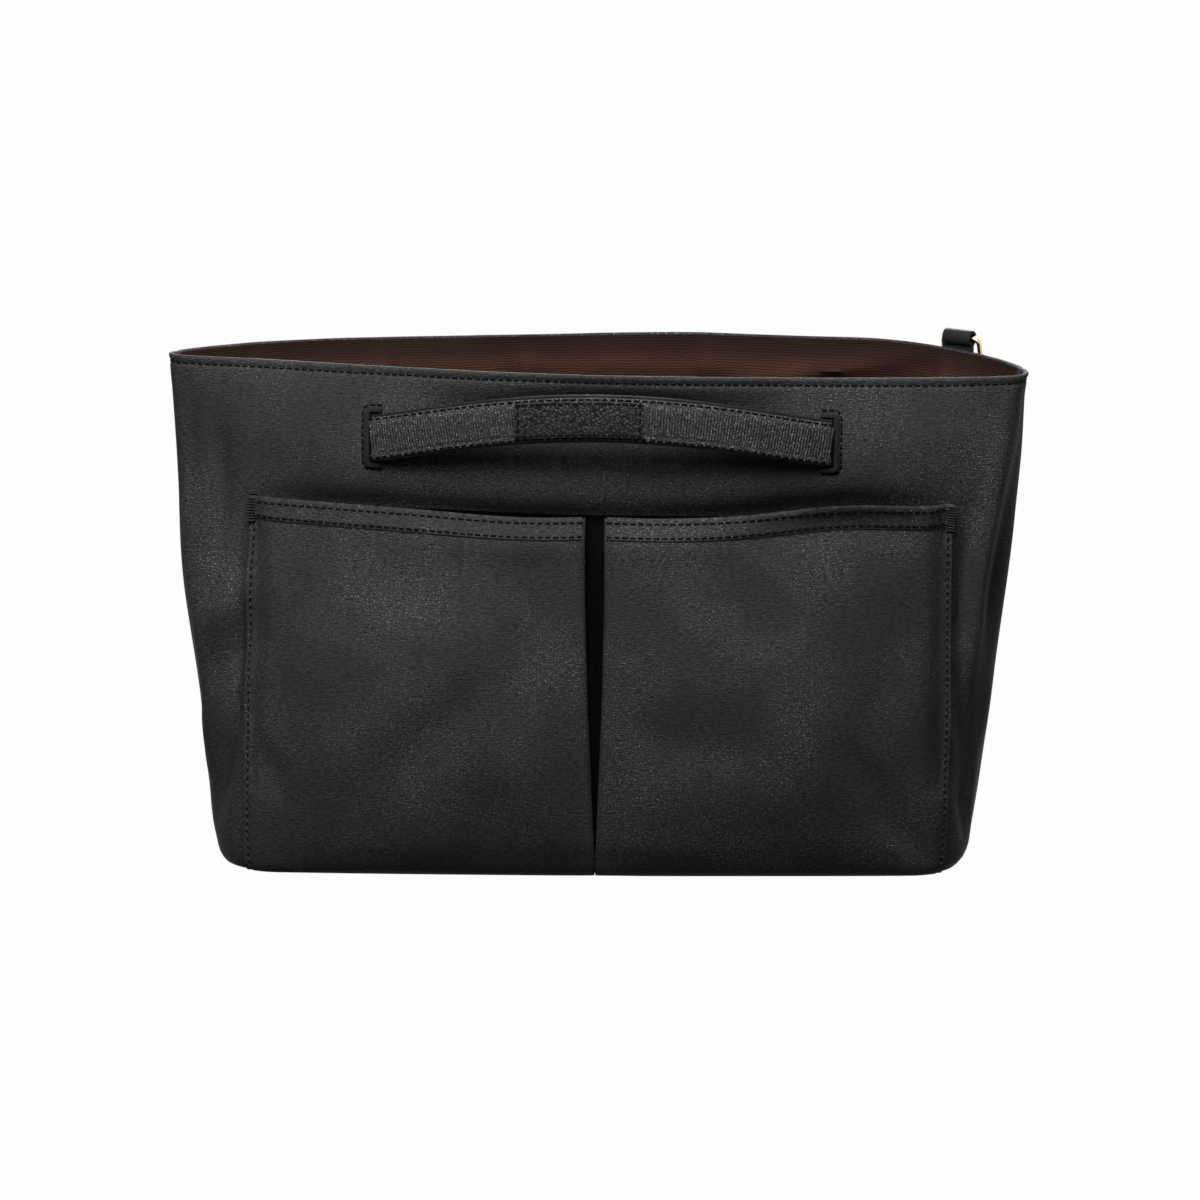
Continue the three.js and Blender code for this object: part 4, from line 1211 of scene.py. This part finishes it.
# A C of folded strap round each slot, open where the handle comes out, with a row of stitches outside.
def slotWelt(name, centre, slot, node):
    width, thickness = handle["welt"]
    along, level = slot
    side = math.copysign(1, along)
    inner, half, reach = handle["weltPath"]
    quarter = np.linspace(0, math.pi / 2, 7)

    def cRoute(r, end):
        upper = [(end, half + r)] + [(-inner - r * math.sin(a), half + r * math.cos(a)) for a in quarter]
        run = [(-inner - r, y) for y in np.linspace(half, -half, 9)[1:-1]]
        lower = [(x, -z) for x, z in reversed(upper)]
        return [(centre + along - side * x, level + z) for x, z in upper + run + lower]

    point, normal = routeOn(wallPlace, cRoute(width / 2, reach), thickness * 0.35)
    point = point / mm
    sideways = unit(np.cross(normal, np.gradient(point, axis=0)))
    section = roundedBox(thickness, width, 0.76)
    settle(sweep(name, point, normal, sideways, section, strapSkin), node)
    return routeOn(wallPlace, cRoute(width + 0.8, reach - 1.2), 0.08)


for label, centre in centres.items():
    rows = []
    for side, word in ((-1, "Left"), (1, "Right")):
        strapHalf(label, side, word)
        slot = handleLine(label)["slots"][(side + 1) // 2]
        rows.append(slotWelt(f"{label}SlotWelt{word}", centre, slot, f"{label}_slot_welt_{word.lower()}"))
    stitchRows(f"{label}SlotStitches", rows, pitch=handle["weltStitch"])
handlePatch()
print("handles made")


# The strip's loop and bore are radii. Its legs meet that far below the axis and go on for the leg's length.
tab = {"width": 12.4, "thickness": 1.2, "loop": 3.3, "bore": 1.7, "rise": 6, "leg": 18}
ring = {"wire": 2.0, "innerWidth": 14.4, "innerDepth": 12, "corner": 2.4, "tilt": 14, "shift": 0.7, "around": 16}
ringJoint = next(j for j in frame["joints"] if j["name"] == "ring_swing")


axis = Vector(ringJoint["axis"]).normalized()
ringOut = Vector((-axis.y, axis.x, 0)).normalized()
ringFrame = np.array(ringJoint["pos_m"]) / mm, np.array(axis), np.array(ringOut), np.array([0, 0, 1.0])


# The tab is one strip, rolled round the ring's bar and sewn to the back of the rim with its two legs together.
def ringTab():
    centre, axis, out, up = ringFrame
    thick, loop, rise = tab["thickness"], tab["loop"], tab["rise"]
    neck = math.asin(thick / loop)
    turns = [-math.pi / 2 + neck + (2 * math.pi - 2 * neck) * k / 24 for k in range(25)]
    outer = [(thick, -down - rise) for down in (tab["leg"], 8, 1)]
    outer += [(loop * math.cos(turn), loop * math.sin(turn)) for turn in turns]
    outer += [(-thick, -rise - down) for down in (1, 8, tab["leg"])]
    inner = []
    for x, y in outer:
        if math.hypot(x, y) < loop + 0.01 and y > -rise:
            inner.append((x / loop * tab["bore"], y / loop * tab["bore"]))
        else:
            inner.append((math.copysign(0.04, x), y))
    outer, inner = np.array(outer), np.array(inner)
    middle = (outer + inner) / 2
    across = np.array([-1, -0.97, -0.9, -0.5, 0, 0.5, 0.9, 0.97, 1]) * tab["width"] / 2 - ring["shift"]
    trim = np.array([0.75, 0.93, 1, 1, 1, 1, 1, 0.93, 0.75])  # the strip is thinner at its edges
    layers = []
    for line in (outer, inner):
        rows = []
        for a, t in zip(across, trim):
            shaped = middle + (line - middle) * t
            rows.append([centre + axis * a + out * x + up * y for x, y in shaped])
        layers.append(rows)
    faces = sheetFaces(len(across), len(outer))
    settle(addPiece("ringTabStrap", np.array(layers) * mm, faces, strapSkin, None, 50), "ring_tab")


# The ring hangs in the tab at rest as the CAD ring does: its bar on the axis, its bow leaning on the leg.
def wireRing():
    centre, axis, out, up = ringFrame
    half = (ring["innerWidth"] + ring["wire"]) / 2
    depth = ring["innerDepth"] + ring["wire"]
    turn = ring["corner"]
    quarter = np.linspace(0, math.pi / 2, 7)[1:]
    corner = [(half - turn + turn * math.sin(a), turn - turn * math.cos(a)) for a in quarter]
    bow = [(half * math.cos(a), depth - half + half * math.sin(a)) for a in np.linspace(0, math.pi, 37)]
    line = [(turn - half, 0), (half - turn, 0), *corner, *bow, *((-x, y) for x, y in reversed(corner))]
    line = np.array(line)
    tilt = math.radians(ring["tilt"])
    down = -up * math.cos(tilt) + out * math.sin(tilt)
    points = centre + line[:, 0:1] * axis + line[:, 1:2] * down
    ahead = unit(np.roll(points, -1, axis=0) - np.roll(points, 1, axis=0))
    side = unit(np.cross(axis, down))
    lateral = unit(np.cross(ahead, side))
    around = ring["around"]
    rings = []
    for k in range(around):
        angle = 2 * math.pi * k / around
        rings.append(points + ring["wire"] / 2 * (math.cos(angle) * lateral + math.sin(angle) * side))
    faces = loftFaces(len(points), around, True)
    settle(addPiece("dRingWire", np.stack(rings, axis=1) * mm, faces, gold, None, 60), "d_ring", "ring")


ringTab()
wireRing()
for spare in (stitchShape, tackCross, ribShape):
    bpy.data.objects.remove(spare)
print("ring and tab made")

# Floor, light and camera. The picture's frame is 1200 pixels wide; pixel is what one is at the target, in mm.
studio = {
    "distance": 2.5,
    "elevation": 13.3,
    "azimuth": 0,
    "roll": 0.31,
    "target": (1.5, 0, 104.7),
    "pixel": 0.4062,
    "frame": 1200,
    "sensor": 36,
    "floor": 14,
    "floorWhite": 0.975,
    "world": 0.08,
}
# Each lamp: where it is and what it is turned to in metres, its two sides, and its power in watts.
lamps = {
    "leftSoftbox": ((-0.14, -0.52, 0.7), (0, 0, 0.15), (0.5, 0.36), 6.6),
    "rightSoftbox": ((-0.04, -0.44, 0.82), (0, 0, 0.15), (0.5, 0.36), 14.6),
    "backSoftbox": ((0.1, 1.1, 0.75), (0, 0, 0.12), (0.9, 0.5), 32.0),
    "topSoftbox": ((0, 0.25, 1.1), (0, 0, 0.1), (0.9, 0.6), 1.2),
}


# White as seen by the camera, in glossy surfaces and through things, and the plain shade for other light.
def whiteForCamera(tree, shade, share, output):
    path = addNode(tree, "ShaderNodeLightPath").outputs
    seen = mathNode(tree, "MAXIMUM", path["Is Camera Ray"], path["Is Glossy Ray"])
    seen = mathNode(tree, "MAXIMUM", seen, path["Is Transmission Ray"])
    kind = "ShaderNodeEmission" if share < 1 else "ShaderNodeBackground"
    glow = addNode(tree, kind, Color=(1, 1, 1, 1), Strength=1.0).outputs[0]
    mixed = addNode(tree, "ShaderNodeMixShader", Fac=mathNode(tree, "MULTIPLY", seen, share), i1=shade, i2=glow)
    tree.links.new(mixed.outputs[0], tree.nodes[output].inputs["Surface"])


def makeFloor():
    material, tree, shader, _ = startMaterial("mattPaperSweep", 0.95)
    shader.inputs["Base Color"].default_value = linearColour("#161616")
    whiteForCamera(tree, shader.outputs[0], studio["floorWhite"], "Material Output")
    mesh = bpy.data.meshes.new("paperSweep")
    far = studio["floor"]
    mesh.from_pydata([(-far, -far, 0), (far, -far, 0), (far, far, 0), (-far, far, 0)], [], [(0, 1, 2, 3)])
    mesh.materials.append(material)
    linkObject("paperSweep", mesh)


def areaLamp(name, place, aim, size, power):
    light = bpy.data.lights.new(name, "AREA")
    light.shape = "RECTANGLE"
    light.size, light.size_y = size
    light.energy = power
    lamp = linkObject(name, light)
    lamp.location = place
    lamp.visible_camera = False
    lamp.rotation_euler = (Vector(aim) - Vector(place)).to_track_quat("-Z", "Y").to_euler()


def makeWorld():
    world = bpy.data.worlds.new("studioRoom")
    bpy.context.scene.world = world
    world.use_nodes = True
    dim = world.node_tree.nodes["Background"]
    dim.inputs["Color"].default_value = (1, 1, 1, 1)
    dim.inputs["Strength"].default_value = studio["world"]
    whiteForCamera(world.node_tree, dim.outputs[0], 1, "World Output")


def makeCamera():
    data = bpy.data.cameras.new("photoCamera")
    camera = linkObject("photoCamera", data)
    bpy.context.scene.camera = camera
    target = Vector(studio["target"]) * mm
    elevation, azimuth = math.radians(studio["elevation"]), math.radians(studio["azimuth"])
    level = math.cos(elevation)
    back = Vector((math.sin(azimuth) * level, -math.cos(azimuth) * level, math.sin(elevation)))
    place = target + back * studio["distance"]
    aim = (-back).to_track_quat("-Z", "Y").to_matrix().to_4x4()
    camera.matrix_world = Matrix.Translation(place) @ aim @ Matrix.Rotation(math.radians(studio["roll"]), 4, "Z")
    data.sensor_width = studio["sensor"]
    data.lens = studio["sensor"] * studio["distance"] / (studio["frame"] * studio["pixel"] * mm)


makeFloor()
for name, values in lamps.items():
    areaLamp(name, *values)
makeWorld()
makeCamera()
bpy.context.scene.view_settings.view_transform = "Standard"
print("studio made")
